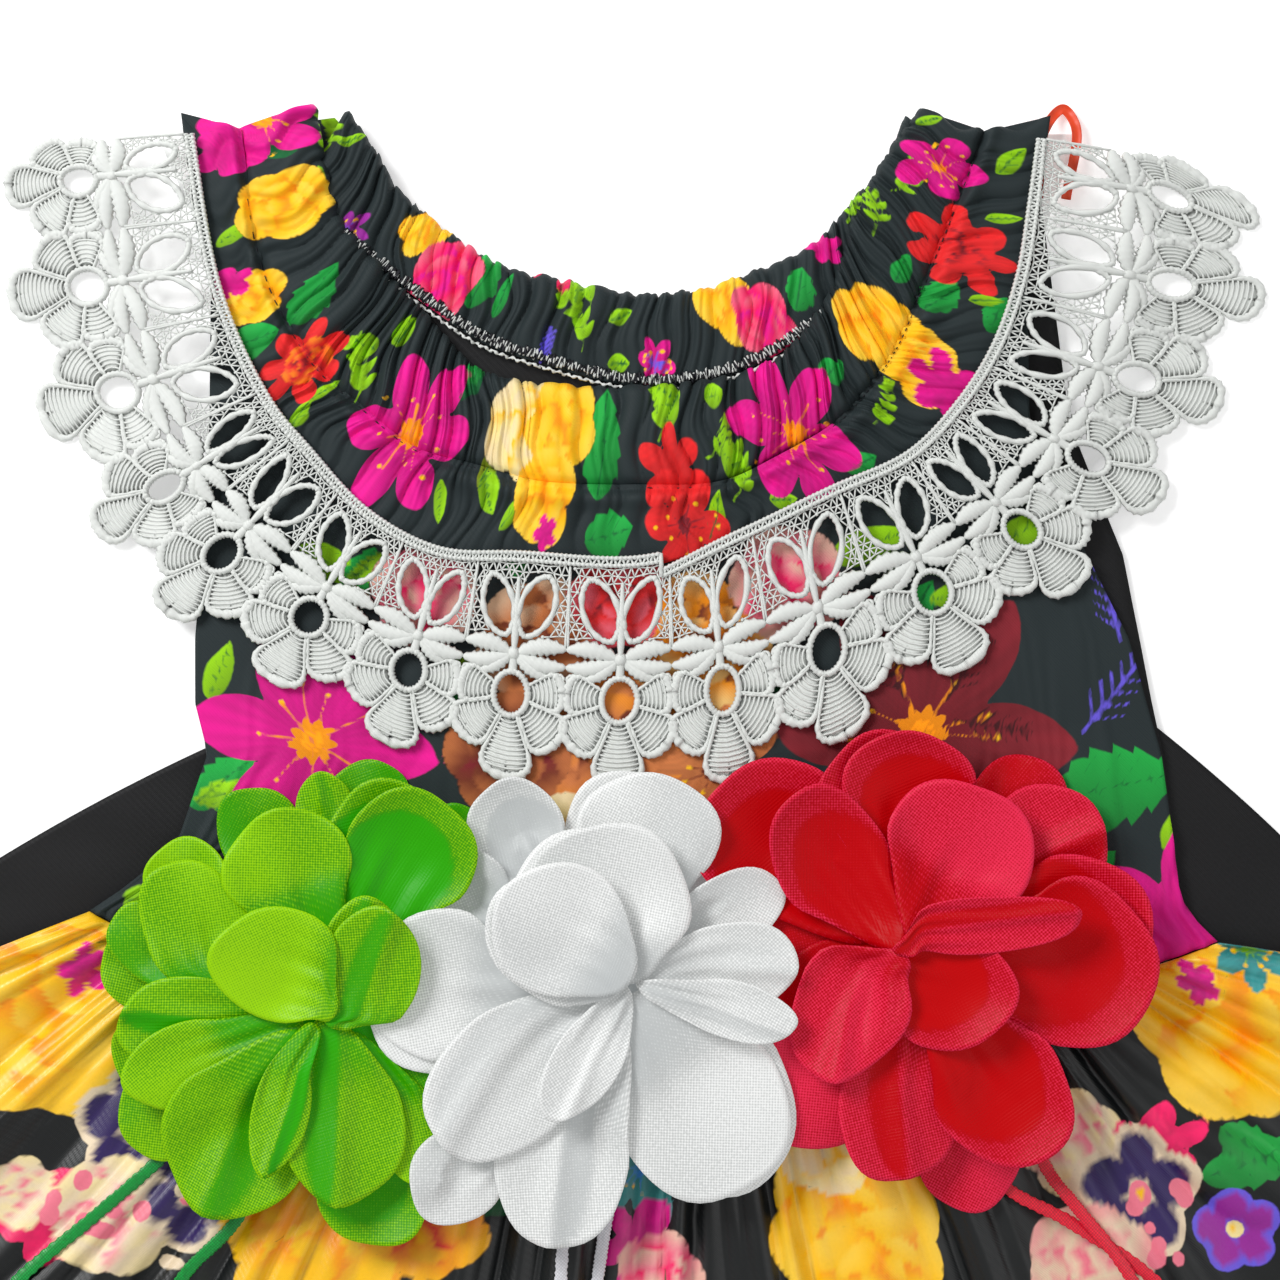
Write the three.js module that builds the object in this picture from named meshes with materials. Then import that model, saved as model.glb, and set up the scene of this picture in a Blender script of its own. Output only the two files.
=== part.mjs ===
// A toddler's folklorico dress, laid flat on its back.
//
// Millimetres. +X is to the viewer's right, +Y towards the neck, +Z up off the table.
// The origin is under the middle of the dress, on the table.
//
// A garment on a table is a pile: each piece of cloth lies on what was laid down before it.
// So a piece is cut in plan first, as a sheet of triangles. Then it is laid on the pile, which
// lifts it clear of everything below, and at last it is given the thickness of its cloth.
import * as THREE from 'three';

// ---- Driving dimensions ---------------------------------------------------------------------

const CLOTH = 1.2;          // height of a cloth wall, which leaves 1 mm of cloth on a slope
const PETAL_CLOTH = 1.1;    // the same for a satin petal
const GAP = 0.35;           // air between two pieces that touch or are sewn together

const SKIRT_HALF_WIDTH = 381;   // half of the hem's width, skirt spread as a fan
const HEM_LOW_Y = -249;         // the hem at the centre front
const HEM_RADIUS = 488;         // the hem is an arc of this radius
const WAIST_LOW_Y = 21;         // the waist seam dips to here at the centre front
const FOLD_COUNT = 13;          // large folds of the front skirt
const FOLD_AT_WAIST = 2.2;      // height of a fold where it is gathered
const FOLD_AT_HEM = 9;          // height of a fold at the hem
const FOLD_DRIFT = 0.28;        // a fold strays from even spacing by this share of its width
const FOLD_DRIFT_RATE = 9.1;
const FOLD_DRIFT_START = 0.6;
const RIB_ARCH = { left: 8, right: 26 };    // how far the outermost ribs of the skirt bow out
const CHEST_CROWN = 3.5;        // the front bodice stands this far off the back
const CROWN_START = 0.15;       // the crown's arch runs from this share of its height
const CROWN_SPAN = 0.7;         // over this much of it, down to the waist
const NECK_GATHERS = 20;        // gathers of the elastic neck and the ruffle
const NAPE_GATHERS = 12;        // gathers of the back of the neck
const GATHER_HEIGHT = 1.6;      // height of a gather
const RUFFLE_FADE = 0.7;        // the ruffle's gathers lose this share of it towards the lace
const UNDER_LACE = 3;           // the lace is sewn on this far inside the edge of the ruffle
const SCALLOPS = 17;            // flowers along the lace's outer edge
const SCALLOP_DEPTH = 6;        // depth of the notch between two of them
const TIE_STEPS = 9;            // stretches of a sash tie
const RIBBON_WIDTH = 3.2;
const RIBBON_THICKNESS = 0.9;
const RIBBON_STEPS = 9;

// ---- Plan curves, as tables with a row for each station --------------------------------------

// Round the front of the neck, from the left shoulder fold to the right one:
// edge of the neck, stitch line under the elastic casing, heading of the lace, tip of the lace.
const NECK_FRONT = [
  // edgeX, edgeY, stitchX, stitchY, headX, headY, tipX, tipY
  [-79, 249, -97, 243, -108, 246, -154, 245],
  [-73, 222, -91, 209, -100, 203, -152, 196],
  [-62, 208, -79, 186, -88, 177, -136, 153],
  [-55, 201, -67, 175, -79, 166, -118, 129],
  [-48, 193, -54, 165, -65, 151, -91, 111],
  [-40, 185, -40, 161, -48, 142, -62, 95],
  [-27, 181, -25, 157, -29, 141, -33, 86],
  [0, 180, 0, 156, 1, 140, 0, 84],
  [20, 182, 20, 157, 23, 147, 31, 87],
  [33, 187, 35, 164, 46, 157, 62, 103],
  [41, 195, 48, 172, 64, 165, 94, 123],
  [46, 203, 56, 181, 75, 176, 120, 146],
  [49, 213, 62, 190, 84, 190, 138, 171],
  [53, 224, 68, 204, 90, 207, 149, 195],
  [60, 236, 75, 221, 93, 225, 153, 216],
  [68, 247, 83, 242, 96, 245, 134, 240],
];

// Round the back of the neck, seen from the front through the opening:
// the folded edge of the back neck, and the overlocked edge of its casing, turned to the inside.
const NECK_BACK = [
  // foldX, foldY, edgeX, edgeY
  [-71, 247, -77, 237],
  [-64, 237, -74, 219],
  [-58, 227, -62, 208],
  [-46, 217, -50, 199],
  [-34, 209, -38, 191],
  [-19, 205, -24, 186],
  [0, 202, -4, 181],
  [14, 203, 12, 181],
  [29, 208, 29, 186],
  [43, 215, 46, 198],
  [50, 223, 57, 209],
  [58, 232, 67, 222],
  [64, 245, 73, 240],
];

// The ruffle and the lace on the back, which lie between the dress and the table:
// folded edge of the neck, heading of the lace, tip of the lace.
const RUFFLE_BACK = [
  // foldX, foldY, headX, headY, tipX, tipY
  [-74, 246, -97, 243, -118, 244],
  [-64, 235, -91, 215, -104, 210],
  [-53, 221, -77, 194, -94, 172],
  [-38, 212, -58, 177, -74, 139],
  [-19, 205, -31, 167, -41, 119],
  [0, 202, 0, 163, 0, 112],
  [24, 206, 26, 168, 36, 119],
  [43, 215, 50, 184, 70, 139],
  [54, 227, 64, 201, 86, 170],
  [61, 237, 74, 223, 95, 208],
  [68, 246, 83, 242, 106, 242],
];

// Side edges of the bodice from the shoulder down to the waist: armhole, then side seam.
const BODICE_SIDES = [
  // y, frontLeftX, frontRightX, backLeftX, backRightX
  [240, -103, 93, -101, 95],
  [172, -104, 94, -104, 104],
  [140, -106, 108, -106, 117],
  [120, -107.5, 118, -107.5, 121],
  [104, -107.5, 122.5, -107.5, 124],
  [92, -104.5, 126, -104.5, 126.5],
  [70, -112, 129, -112, 129.5],
  [60, -124, 130, -124, 130.5],
  [54, -133, 132, -133, 132],
  [46, -134, 140, -134, 140],
];
const WAIST_END_Y = { left: 54, right: 46.5 };
const FRONT_SHOULDERS = { left: -104, right: 94 };
const BACK_SHOULDERS = { left: -101, right: 95 };
const BACK_SHOULDER_Y = 240;

// Top edge of the front bodice, under the ruffle, from the left shoulder to the right one.
const BODICE_TOP = [
  // x, y
  [-104, 238],
  [-94, 218],
  [-82, 190],
  [-58, 167],
  [-26, 156],
  [20, 156],
  [48, 170],
  [62, 188],
  [74, 216],
  [94, 238],
];

// Each sash tie: its middle line from the side seam to its free end under the skirt, and the two
// ends of its sewn edge, the one on the right hand of that line first.
const TIES = {
  left: {
    path: [[-136, 73], [-182, 51], [-224, 16], [-258, -34], [-276, -100]],
    seam: [[-107, 90], [-134.5, 56]],
  },
  right: {
    path: [[133, 66], [166, 34], [205, -5], [246, -60], [268, -120]],
    seam: [[137.5, 48], [127.5, 90]],
  },
};
const TIE_WIDTH = 38;

// Route of each ribbon tail over the skirt, from under its flower to its free end.
const RIBBONS = {
  green_1: [[-98, 14], [-114, -4], [-131, -19], [-149, -34], [-165, -52], [-176, -74]],
  green_2: [[-88, 2], [-97, -20], [-110, -34], [-119, -52], [-124, -74], [-122, -96]],
  white_1: [[-17, 8], [-18, -14], [-19, -34], [-20, -56], [-17, -80], [-9, -102]],
  white_2: [[-6, 12], [-6, -8], [-9, -26], [-11, -44], [-10, -66], [-1, -88]],
  red_1: [[84, 10], [86, -10], [104, -21], [123, -34], [138, -52], [146, -76]],
  red_2: [[92, 8], [98, -8], [105, -17], [118, -34], [126, -56], [124, -82]],
};

// Hanger loop at the shoulder seam: a ribbon folded back on itself.
const LOOP_PATH = [[96, 226], [97.5, 242], [102.5, 248], [105.5, 243], [103, 226]];
const LOOP_WIDTH = 2.4;

// The petals of the three flowers, in the order in which they lie on each other.
// x, y is the middle of a petal; long and wide are its half sizes; turn is the direction of its
// long axis in degrees; rise is how steeply it climbs away from the heart of its flower.
const HEARTS = { green: [-75, 32], white: [-2, 38], red: [62, 44] };
const PETALS = [
  // flower, x, y, long, wide, turn, rise
  ['red', 34, 70, 21, 18, 120, 0.05],
  ['red', 90, 81, 14, 13, 40, 0.1],
  ['red', 79, -4, 12, 11, -70, 0.1],
  ['green', -42, 74, 9, 7, 60, 0.05],
  ['green', -112, 62, 11, 8, 130, 0.1],
  ['green', -90, 74, 12, 9, 110, 0.1],
  ['green', -116, 12, 15, 12, -140, 0.1],
  ['green', -63, -9, 14, 11, -70, 0.1],
  ['white', -40, -10, 14, 10, -130, 0.1],
  ['white', 2, 72, 16, 15, 80, 0.1],
  ['green', -119, 46, 16, 11, 160, 0.2],
  ['green', -58, 5, 16, 9, -60, 0.2],
  ['white', -48, 19, 13, 8, -150, 0.15],
  ['red', 66, 84, 14, 13, 90, 0.2],
  ['green', -72, 79, 11, 9, 80, 0.35],
  ['green', -101, 51, 18, 14, 130, 0.3],
  ['white', 25, 54, 15, 9, 30, 0.15],
  ['red', 97, 64, 14, 11, 30, 0.3],
  ['green', -106, 26, 20, 9, 190, 0.3],
  ['white', 14, 12, 22, 18, -65, 0.15],
  ['white', -36, 66, 14, 10, 125, 0.25],
  ['green', -56, 67, 15, 14, 60, 0.3],
  ['red', 40, 13, 17, 14, -125, 0.15],
  ['green', -94, 4, 21, 16, -120, 0.3],
  ['white', -18, -6, 21, 14, -100, 0.2],
  ['red', 99, 39, 19, 18, 0, 0.2],
  ['green', -84, 66, 15, 12, 100, 0.45],
  ['white', -47, 38, 18, 15, 170, 0.3],
  ['red', 62, 8, 18, 13, -95, 0.25],
  ['green', -71, 7, 19, 12, -80, 0.4],
  ['red', 88, 12, 18, 13, -60, 0.3],
  ['white', 21, 42, 18, 10, 15, 0.3],
  ['red', 44, 69, 19, 10, 120, 0.4],
  ['white', -6, 57, 17, 16, 90, 0.35],
  ['green', -64, 41, 18, 9, 75, 0.5],
  ['white', -36, 14, 23, 12, -125, 0.35],
  ['red', 77, 71, 17, 14, 60, 0.45],
  ['red', 48, 31, 19, 11, -110, 0.45],
  ['green', -83, 43, 17, 11, 170, 0.55],
  ['white', -17, 50, 19, 13, 160, 0.5],
];
const PETAL_CUP = 1.2;      // the rim of a petal stands this far above its middle
const PETAL_SIDES = 12;
const PETAL_RINGS = [0.55, 1];      // where its two rings lie, as a share of its half sizes

// ---- Curves -----------------------------------------------------------------------------------

// A smooth curve through two columns of a table, as a function of 0 to 1.
function curveOf(table, column) {
  const points = table.map((row) => new THREE.Vector3(row[column], row[column + 1], 0));
  const curve = new THREE.CatmullRomCurve3(points, false, 'centripetal');
  return (t) => {
    const p = curve.getPoint(Math.min(1, Math.max(0, t)));
    return [p.x, p.y];
  };
}

// Straight interpolation in a table sorted by its first column, rising or falling.
function lookUp(table, key, column) {
  const rising = table[0][0] < table[table.length - 1][0];
  const rows = rising ? table : [...table].reverse();
  if (key <= rows[0][0]) return rows[0][column];
  for (let i = 1; i < rows.length; i += 1) {
    const [before, after] = [rows[i - 1], rows[i]];
    if (key <= after[0]) {
      const share = (key - before[0]) / (after[0] - before[0]);
      return before[column] + share * (after[column] - before[column]);
    }
  }
  return rows[rows.length - 1][column];
}

const mix = (a, b, share) => a + (b - a) * share;

// A plan between two curves: u runs along them and v across, and each edge is trimmed by a
// margin in millimetres where another piece is sewn on.
function bandPlan(inner, outer, trimInner = 0, trimOuter = 0) {
  return (u, v) => {
    const [ax, ay] = inner(u);
    const [bx, by] = outer(u);
    const length = Math.hypot(bx - ax, by - ay);
    const share = mix(trimInner / length, 1 - trimOuter / length, v);
    return [mix(ax, bx, share), mix(ay, by, share)];
  };
}

// A strip of the given width along a line.
function stripPlan(line, width) {
  const step = 0.02;
  return (u, v) => {
    const [x, y] = line(u);
    const [aheadX, aheadY] = line(u + step);
    const [behindX, behindY] = line(u - step);
    const length = Math.hypot(aheadX - behindX, aheadY - behindY);
    const side = ((v - 0.5) * width) / length;
    return [x - side * (aheadY - behindY), y + side * (aheadX - behindX)];
  };
}

// ---- Sheets: plan points with a least height, and triangles -------------------------------------

// A sheet over a grid. plan(u, v) gives x and y, form(u, v, x, y) the least height.
function gridSheet(columns, rows, plan, form = () => 0) {
  const points = [];
  const faces = [];
  for (let j = 0; j <= rows; j += 1) {
    for (let i = 0; i <= columns; i += 1) {
      const [u, v] = [i / columns, j / rows];
      const [x, y] = plan(u, v);
      points.push([x, y, form(u, v, x, y)]);
    }
  }
  const at = (i, j) => j * (columns + 1) + i;
  for (let j = 0; j < rows; j += 1) {
    for (let i = 0; i < columns; i += 1) {
      faces.push([at(i, j), at(i + 1, j), at(i + 1, j + 1)]);
      faces.push([at(i, j), at(i + 1, j + 1), at(i, j + 1)]);
    }
  }
  return { points, faces };
}

// An oval petal: a middle point, a ring half way out and a rim.
function petalSheet([flower, x, y, long, wide, turn, rise]) {
  const [heartX, heartY] = HEARTS[flower];
  const angle = THREE.MathUtils.degToRad(turn);
  const climb = (px, py) => rise * Math.hypot(px - heartX, py - heartY);
  const points = [[x, y, climb(x, y)]];
  const faces = [];
  for (const ring of PETAL_RINGS) {
    for (let k = 0; k < PETAL_SIDES; k += 1) {
      const around = (2 * Math.PI * k) / PETAL_SIDES;
      const along = ring * long * Math.cos(around);
      const across = ring * wide * Math.sin(around);
      const px = x + along * Math.cos(angle) - across * Math.sin(angle);
      const py = y + along * Math.sin(angle) + across * Math.cos(angle);
      points.push([px, py, climb(px, py) + PETAL_CUP * ring * ring]);
    }
  }
  for (let k = 0; k < PETAL_SIDES; k += 1) {
    const next = (k + 1) % PETAL_SIDES;
    const [a, b] = [1 + k, 1 + next];
    const [c, d] = [a + PETAL_SIDES, b + PETAL_SIDES];
    faces.push([0, a, b], [a, c, d], [a, d, b]);
  }
  return { points, faces };
}

// ---- The pile -----------------------------------------------------------------------------------

const CELL = 0.5;           // side of a cell of the pile's height map
const REACH_X = 400;
const REACH_Y = 270;
const CELLS_X = (2 * REACH_X) / CELL;
const CELLS_Y = (2 * REACH_Y) / CELL;
const pile = new Float32Array(CELLS_X * CELLS_Y);

// Calls visit(x, y, wa, wb, wc) for points spread over a triangle, half a cell apart.
function overTriangle([a, b, c], visit) {
  const longest = Math.max(
    Math.hypot(a[0] - b[0], a[1] - b[1]),
    Math.hypot(b[0] - c[0], b[1] - c[1]),
    Math.hypot(c[0] - a[0], c[1] - a[1]),
  );
  const steps = Math.max(2, Math.ceil(longest / (CELL / 2)));
  for (let i = 0; i <= steps; i += 1) {
    for (let j = 0; j <= steps - i; j += 1) {
      const wb = i / steps;
      const wc = j / steps;
      const wa = 1 - wb - wc;
      visit(wa * a[0] + wb * b[0] + wc * c[0], wa * a[1] + wb * b[1] + wc * c[1], wa, wb, wc);
    }
  }
}

// Highest thing laid so far in the cell of a point or in the cells beside it.
function pileAt(x, y) {
  const column = Math.floor((x + REACH_X) / CELL);
  const row = Math.floor((y + REACH_Y) / CELL);
  let highest = 0;
  for (let j = row - 1; j <= row + 1; j += 1) {
    for (let i = column - 1; i <= column + 1; i += 1) {
      highest = Math.max(highest, pile[j * CELLS_X + i] || 0);
    }
  }
  return highest;
}

// Lifts each corner of a sheet until every triangle clears the pile, as soft cloth would lie.
function drape({ points, faces }) {
  const lift = points.map((p) => p[2]);
  for (const face of faces) {
    let highest = 0;
    overTriangle(face.map((k) => points[k]), (x, y) => {
      highest = Math.max(highest, pileAt(x, y));
    });
    if (highest > 0) face.forEach((k) => { lift[k] = Math.max(lift[k], highest + GAP); });
  }
  return { points: points.map((p, k) => [p[0], p[1], lift[k]]), faces };
}

// Drapes a sheet, with its own folds standing on what lies below it.
function drapeFolds({ points, faces }) {
  const flat = drape({ points: points.map(([x, y]) => [x, y, 0]), faces });
  return { points: flat.points.map((p, k) => [p[0], p[1], p[2] + points[k][2]]), faces };
}

// Lowers a stiff sheet as a whole until it just clears the pile.
function setDown({ points, faces }) {
  let lift = -Infinity;
  for (const face of faces) {
    const [a, b, c] = face.map((k) => points[k]);
    overTriangle([a, b, c], (x, y, wa, wb, wc) => {
      const own = wa * a[2] + wb * b[2] + wc * c[2];
      lift = Math.max(lift, pileAt(x, y) + GAP - own);
    });
  }
  return { points: points.map(([x, y, z]) => [x, y, z + lift]), faces };
}

// Adds the top of a laid sheet to the pile.
function addToPile({ points, faces }, thickness) {
  for (const face of faces) {
    const [a, b, c] = face.map((k) => points[k]);
    overTriangle([a, b, c], (x, y, wa, wb, wc) => {
      const column = Math.floor((x + REACH_X) / CELL);
      const row = Math.floor((y + REACH_Y) / CELL);
      const top = wa * a[2] + wb * b[2] + wc * c[2] + thickness;
      const cell = row * CELLS_X + column;
      pile[cell] = Math.max(pile[cell], top);
    });
  }
}

// ---- Solids -------------------------------------------------------------------------------------

// Closes a sheet into a wall: its underside, its top a thickness higher, and a strip along its rim.
function wallOf({ points, faces }, thickness) {
  const positions = [];
  for (const [x, y, z] of points) positions.push(x, y, z + thickness);
  for (const [x, y, z] of points) positions.push(x, y, z);
  const under = points.length;
  const facing = faces.map(([a, b, c]) => {
    const [p, q, r] = [points[a], points[b], points[c]];
    const area = (q[0] - p[0]) * (r[1] - p[1]) - (q[1] - p[1]) * (r[0] - p[0]);
    return area > 0 ? [a, b, c] : [a, c, b];
  });
  const edges = new Set();
  for (const [a, b, c] of facing) {
    for (const [p, q] of [[a, b], [b, c], [c, a]]) edges.add(`${p},${q}`);
  }
  const index = [];
  for (const [a, b, c] of facing) {
    index.push(a, b, c, under + a, under + c, under + b);
    for (const [p, q] of [[a, b], [b, c], [c, a]]) {
      if (!edges.has(`${q},${p}`)) index.push(p, under + p, under + q, p, under + q, q);
    }
  }
  const geometry = new THREE.BufferGeometry();
  geometry.setAttribute('position', new THREE.Float32BufferAttribute(positions, 3));
  geometry.setIndex(index);
  geometry.computeVertexNormals();
  return geometry;
}

const dress = new THREE.Group();

function addMesh(name, geometry, { colour, roughness }) {
  const material = new THREE.MeshStandardMaterial({ color: colour, roughness, metalness: 0 });
  const mesh = new THREE.Mesh(geometry, material);
  mesh.name = name;
  dress.add(mesh);
}

// Lays pieces that are sewn edge to edge, so that none of them is lifted onto its neighbour.
// Each is [name, sheet, way of laying, finish].
function layTogether(pieces, thickness = CLOTH) {
  const laid = pieces.map(([name, sheet, way, finish]) => [name, way(sheet), finish]);
  for (const [name, sheet, finish] of laid) {
    addToPile(sheet, thickness);
    addMesh(name, wallOf(sheet, thickness), finish);
  }
}

const FINISH = {
  print: { colour: 0x30393b, roughness: 0.7 },
  satinPrint: { colour: 0x1d1f20, roughness: 0.45 },
  black: { colour: 0x161616, roughness: 0.8 },
  lace: { colour: 0xebeeeb, roughness: 0.85 },
  green: { colour: 0x6ebe0a, roughness: 0.4 },
  white: { colour: 0xe1e2e4, roughness: 0.4 },
  red: { colour: 0xc80028, roughness: 0.4 },
  orange: { colour: 0xdc4a1e, roughness: 0.45 },
  greenRibbon: { colour: 0x00963c, roughness: 0.35 },
  whiteRibbon: { colour: 0xe6e6ea, roughness: 0.35 },
  redRibbon: { colour: 0xe6283c, roughness: 0.35 },
};

// ---- Bodice and skirt plans ---------------------------------------------------------------------

// Height of the waist seam at a share t of its width, from the left end to the right one.
function waistY(t) {
  const end = t < 0.5 ? WAIST_END_Y.left : WAIST_END_Y.right;
  return mix(WAIST_LOW_Y, end, Math.abs(2 * t - 1) ** 2);
}

function bodicePlan(leftColumn, rightColumn, topY) {
  return (t, s) => {
    const y = mix(topY(t), waistY(t) + GAP / 2, s);
    const x = mix(lookUp(BODICE_SIDES, y, leftColumn), lookUp(BODICE_SIDES, y, rightColumn), t);
    return [x, y];
  };
}

const frontBodicePlan = bodicePlan(1, 2, (t) => {
  const x = mix(FRONT_SHOULDERS.left, FRONT_SHOULDERS.right, t);
  return lookUp(BODICE_TOP, x, 1);
});

// The back bodice reaches up to the folded edge of the back neck.
const UNDER_FOLD = 1;
const backBodicePlan = bodicePlan(3, 4, (t) => {
  const x = mix(BACK_SHOULDERS.left, BACK_SHOULDERS.right, t);
  const besideNeck = x < NECK_BACK[0][0] || x > NECK_BACK[NECK_BACK.length - 1][0];
  return besideNeck ? BACK_SHOULDER_Y : lookUp(NECK_BACK, x, 1) - UNDER_FOLD;
});

// The skirt runs along straight ribs from the waist to the hem. The outermost ribs arch a little.
function skirtPlan(leftColumn, rightColumn) {
  return (t, s) => {
    const topY = waistY(t) - GAP / 2;
    const topX = mix(lookUp(BODICE_SIDES, topY, leftColumn), lookUp(BODICE_SIDES, topY, rightColumn), t);
    const hemX = mix(-SKIRT_HALF_WIDTH, SKIRT_HALF_WIDTH, t);
    const hemY = HEM_LOW_Y + HEM_RADIUS - Math.sqrt(HEM_RADIUS ** 2 - hemX ** 2);
    const bow = t < 0.5 ? RIB_ARCH.left : RIB_ARCH.right;
    const arch = bow * Math.abs(2 * t - 1) ** 3 * Math.sin(Math.PI * s) * (1 - s);
    return [mix(topX, hemX, s), mix(topY, hemY, s) + arch];
  };
}

// Uneven radial folds: a wave whose length drifts from fold to fold.
function skirtFold(t, s) {
  const drift = FOLD_DRIFT * Math.sin(FOLD_DRIFT_RATE * t + FOLD_DRIFT_START);
  const phase = 2 * Math.PI * (FOLD_COUNT * t + drift);
  const height = mix(FOLD_AT_WAIST, FOLD_AT_HEM, s ** 0.8);
  return height * (0.5 - 0.5 * Math.cos(phase));
}

// A tie is a strip whose first stretch narrows or widens to its sewn edge.
function tiePlan({ path, seam }) {
  const strip = stripPlan(curveOf(path, 0), TIE_WIDTH);
  const [first, last] = seam;
  return (u, v) => {
    const free = strip(u, v);
    const share = Math.min(1, u * TIE_STEPS);
    return [0, 1].map((axis) => mix(mix(first[axis], last[axis], v), free[axis], share));
  };
}

// ---- Laying the dress, from the table up ----------------------------------------------------------

const backHead = curveOf(RUFFLE_BACK, 2);
const backTip = curveOf(RUFFLE_BACK, 4);

layTogether([
  ['sash_tie_left', gridSheet(TIE_STEPS, 2, tiePlan(TIES.left)), drape, FINISH.black],
  ['sash_tie_right', gridSheet(TIE_STEPS, 2, tiePlan(TIES.right)), drape, FINISH.black],
  ['lace_back', gridSheet(30, 2, bandPlan(backHead, backTip)), drape, FINISH.lace],
]);

const backRufflePlan = bandPlan(curveOf(RUFFLE_BACK, 0), backHead, 0, -UNDER_LACE);

layTogether([
  ['ruffle_back', gridSheet(30, 3, backRufflePlan), drape, FINISH.print],
]);

layTogether([
  ['back_bodice', gridSheet(14, 12, backBodicePlan), drape, FINISH.black],
  ['back_skirt', gridSheet(24, 8, skirtPlan(3, 4)), drape, FINISH.black],
]);

const gather = (u, count) => GATHER_HEIGHT * (0.5 - 0.5 * Math.cos(2 * Math.PI * count * u));

const napePlan = bandPlan(curveOf(NECK_BACK, 0), curveOf(NECK_BACK, 2));
const napeForm = (u, v) => (gather(u, NAPE_GATHERS) / 2) * (1 - v);

layTogether([
  ['neck_casing_back', gridSheet(3 * NAPE_GATHERS, 2, napePlan, napeForm), drapeFolds, FINISH.print],
]);

function crown(t, s) {
  const arch = Math.sin(Math.PI * (CROWN_START + CROWN_SPAN * s));
  return CHEST_CROWN * Math.sin(Math.PI * t) * arch;
}

layTogether([
  ['front_bodice', gridSheet(16, 12, frontBodicePlan, crown), drapeFolds, FINISH.print],
  ['front_skirt', gridSheet(4 * FOLD_COUNT, 5, skirtPlan(1, 2), skirtFold), drapeFolds, FINISH.satinPrint],
]);

layTogether([
  ['hanger_loop', gridSheet(10, 1, stripPlan(curveOf(LOOP_PATH, 0), LOOP_WIDTH)), drape, FINISH.orange],
]);

const frontEdge = curveOf(NECK_FRONT, 0);
const frontStitch = curveOf(NECK_FRONT, 2);
const frontHead = curveOf(NECK_FRONT, 4);
const frontTip = curveOf(NECK_FRONT, 6);
const gathers = 3 * NECK_GATHERS;

layTogether([
  ['neck_casing_front',
    gridSheet(gathers, 2, bandPlan(frontEdge, frontStitch, 0, GAP / 2), (u) => gather(u, NECK_GATHERS)),
    drapeFolds, FINISH.print],
  ['ruffle_front',
    gridSheet(gathers, 2, bandPlan(frontStitch, frontHead, GAP / 2, -UNDER_LACE),
      (u, v) => gather(u, NECK_GATHERS) * (1 - RUFFLE_FADE * v)),
    drapeFolds, FINISH.print],
]);

// The lace's outer edge runs from tip to tip in round scallops.
const lacePlan = (u, v) => {
  const notch = SCALLOP_DEPTH * (1 - Math.abs(Math.sin(Math.PI * SCALLOPS * u)));
  return bandPlan(frontHead, frontTip, 0, notch)(u, v);
};

layTogether([['lace_front', gridSheet(4 * SCALLOPS, 3, lacePlan), drape, FINISH.lace]]);

// The flat section of a ribbon: eight sides, thin along x and wide along y.
function ribbonSection() {
  const [thin, wide, corner] = [RIBBON_THICKNESS / 2, RIBBON_WIDTH / 2, RIBBON_THICKNESS / 4];
  const outline = [
    [thin, corner - wide], [thin, wide - corner], [thin - corner, wide], [corner - thin, wide],
    [-thin, wide - corner], [-thin, corner - wide], [corner - thin, -wide], [thin - corner, -wide],
  ];
  return new THREE.Shape(outline.map(([x, y]) => new THREE.Vector2(x, y)));
}

// A ribbon lies flat on the pile, extruded from station to station with its width kept level.
function addRibbon(name, route, finish) {
  const strip = drape(gridSheet(RIBBON_STEPS, 1, stripPlan(curveOf(route, 0), RIBBON_WIDTH + 2 * GAP)));
  const stations = [];
  for (let k = 0; k <= RIBBON_STEPS; k += 1) {
    const [one, other] = [strip.points[k], strip.points[k + RIBBON_STEPS + 1]];
    const height = Math.max(one[2], other[2]) + RIBBON_THICKNESS / 2;
    stations.push(new THREE.Vector3((one[0] + other[0]) / 2, (one[1] + other[1]) / 2, height));
  }
  const up = new THREE.Vector3(0, 0, 1);
  const path = new THREE.CatmullRomCurve3(stations);
  path.getSpacedPoints = () => stations;
  path.computeFrenetFrames = () => {
    const tangents = stations.map((p, k) => {
      const before = stations[Math.max(0, k - 1)];
      const after = stations[Math.min(RIBBON_STEPS, k + 1)];
      return new THREE.Vector3().subVectors(after, before).setZ(0).normalize();
    });
    const binormals = tangents.map((t) => new THREE.Vector3().crossVectors(t, up));
    return { tangents, normals: tangents.map(() => up.clone()), binormals };
  };
  const geometry = new THREE.ExtrudeGeometry(ribbonSection(), { steps: RIBBON_STEPS, extrudePath: path });
  addMesh(name, geometry, finish);
  addToPile(strip, RIBBON_THICKNESS);
}

addRibbon('ribbon_green_1', RIBBONS.green_1, FINISH.greenRibbon);
addRibbon('ribbon_green_2', RIBBONS.green_2, FINISH.greenRibbon);
addRibbon('ribbon_white_1', RIBBONS.white_1, FINISH.whiteRibbon);
addRibbon('ribbon_white_2', RIBBONS.white_2, FINISH.whiteRibbon);
addRibbon('ribbon_red_1', RIBBONS.red_1, FINISH.redRibbon);
addRibbon('ribbon_red_2', RIBBONS.red_2, FINISH.redRibbon);

const petalCount = { green: 0, white: 0, red: 0 };
for (const row of PETALS) {
  const flower = row[0];
  petalCount[flower] += 1;
  const name = `${flower}_petal_${petalCount[flower]}`;
  layTogether([[name, petalSheet(row), setDown, FINISH[flower]]], PETAL_CLOTH);
}

export default dress;
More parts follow.
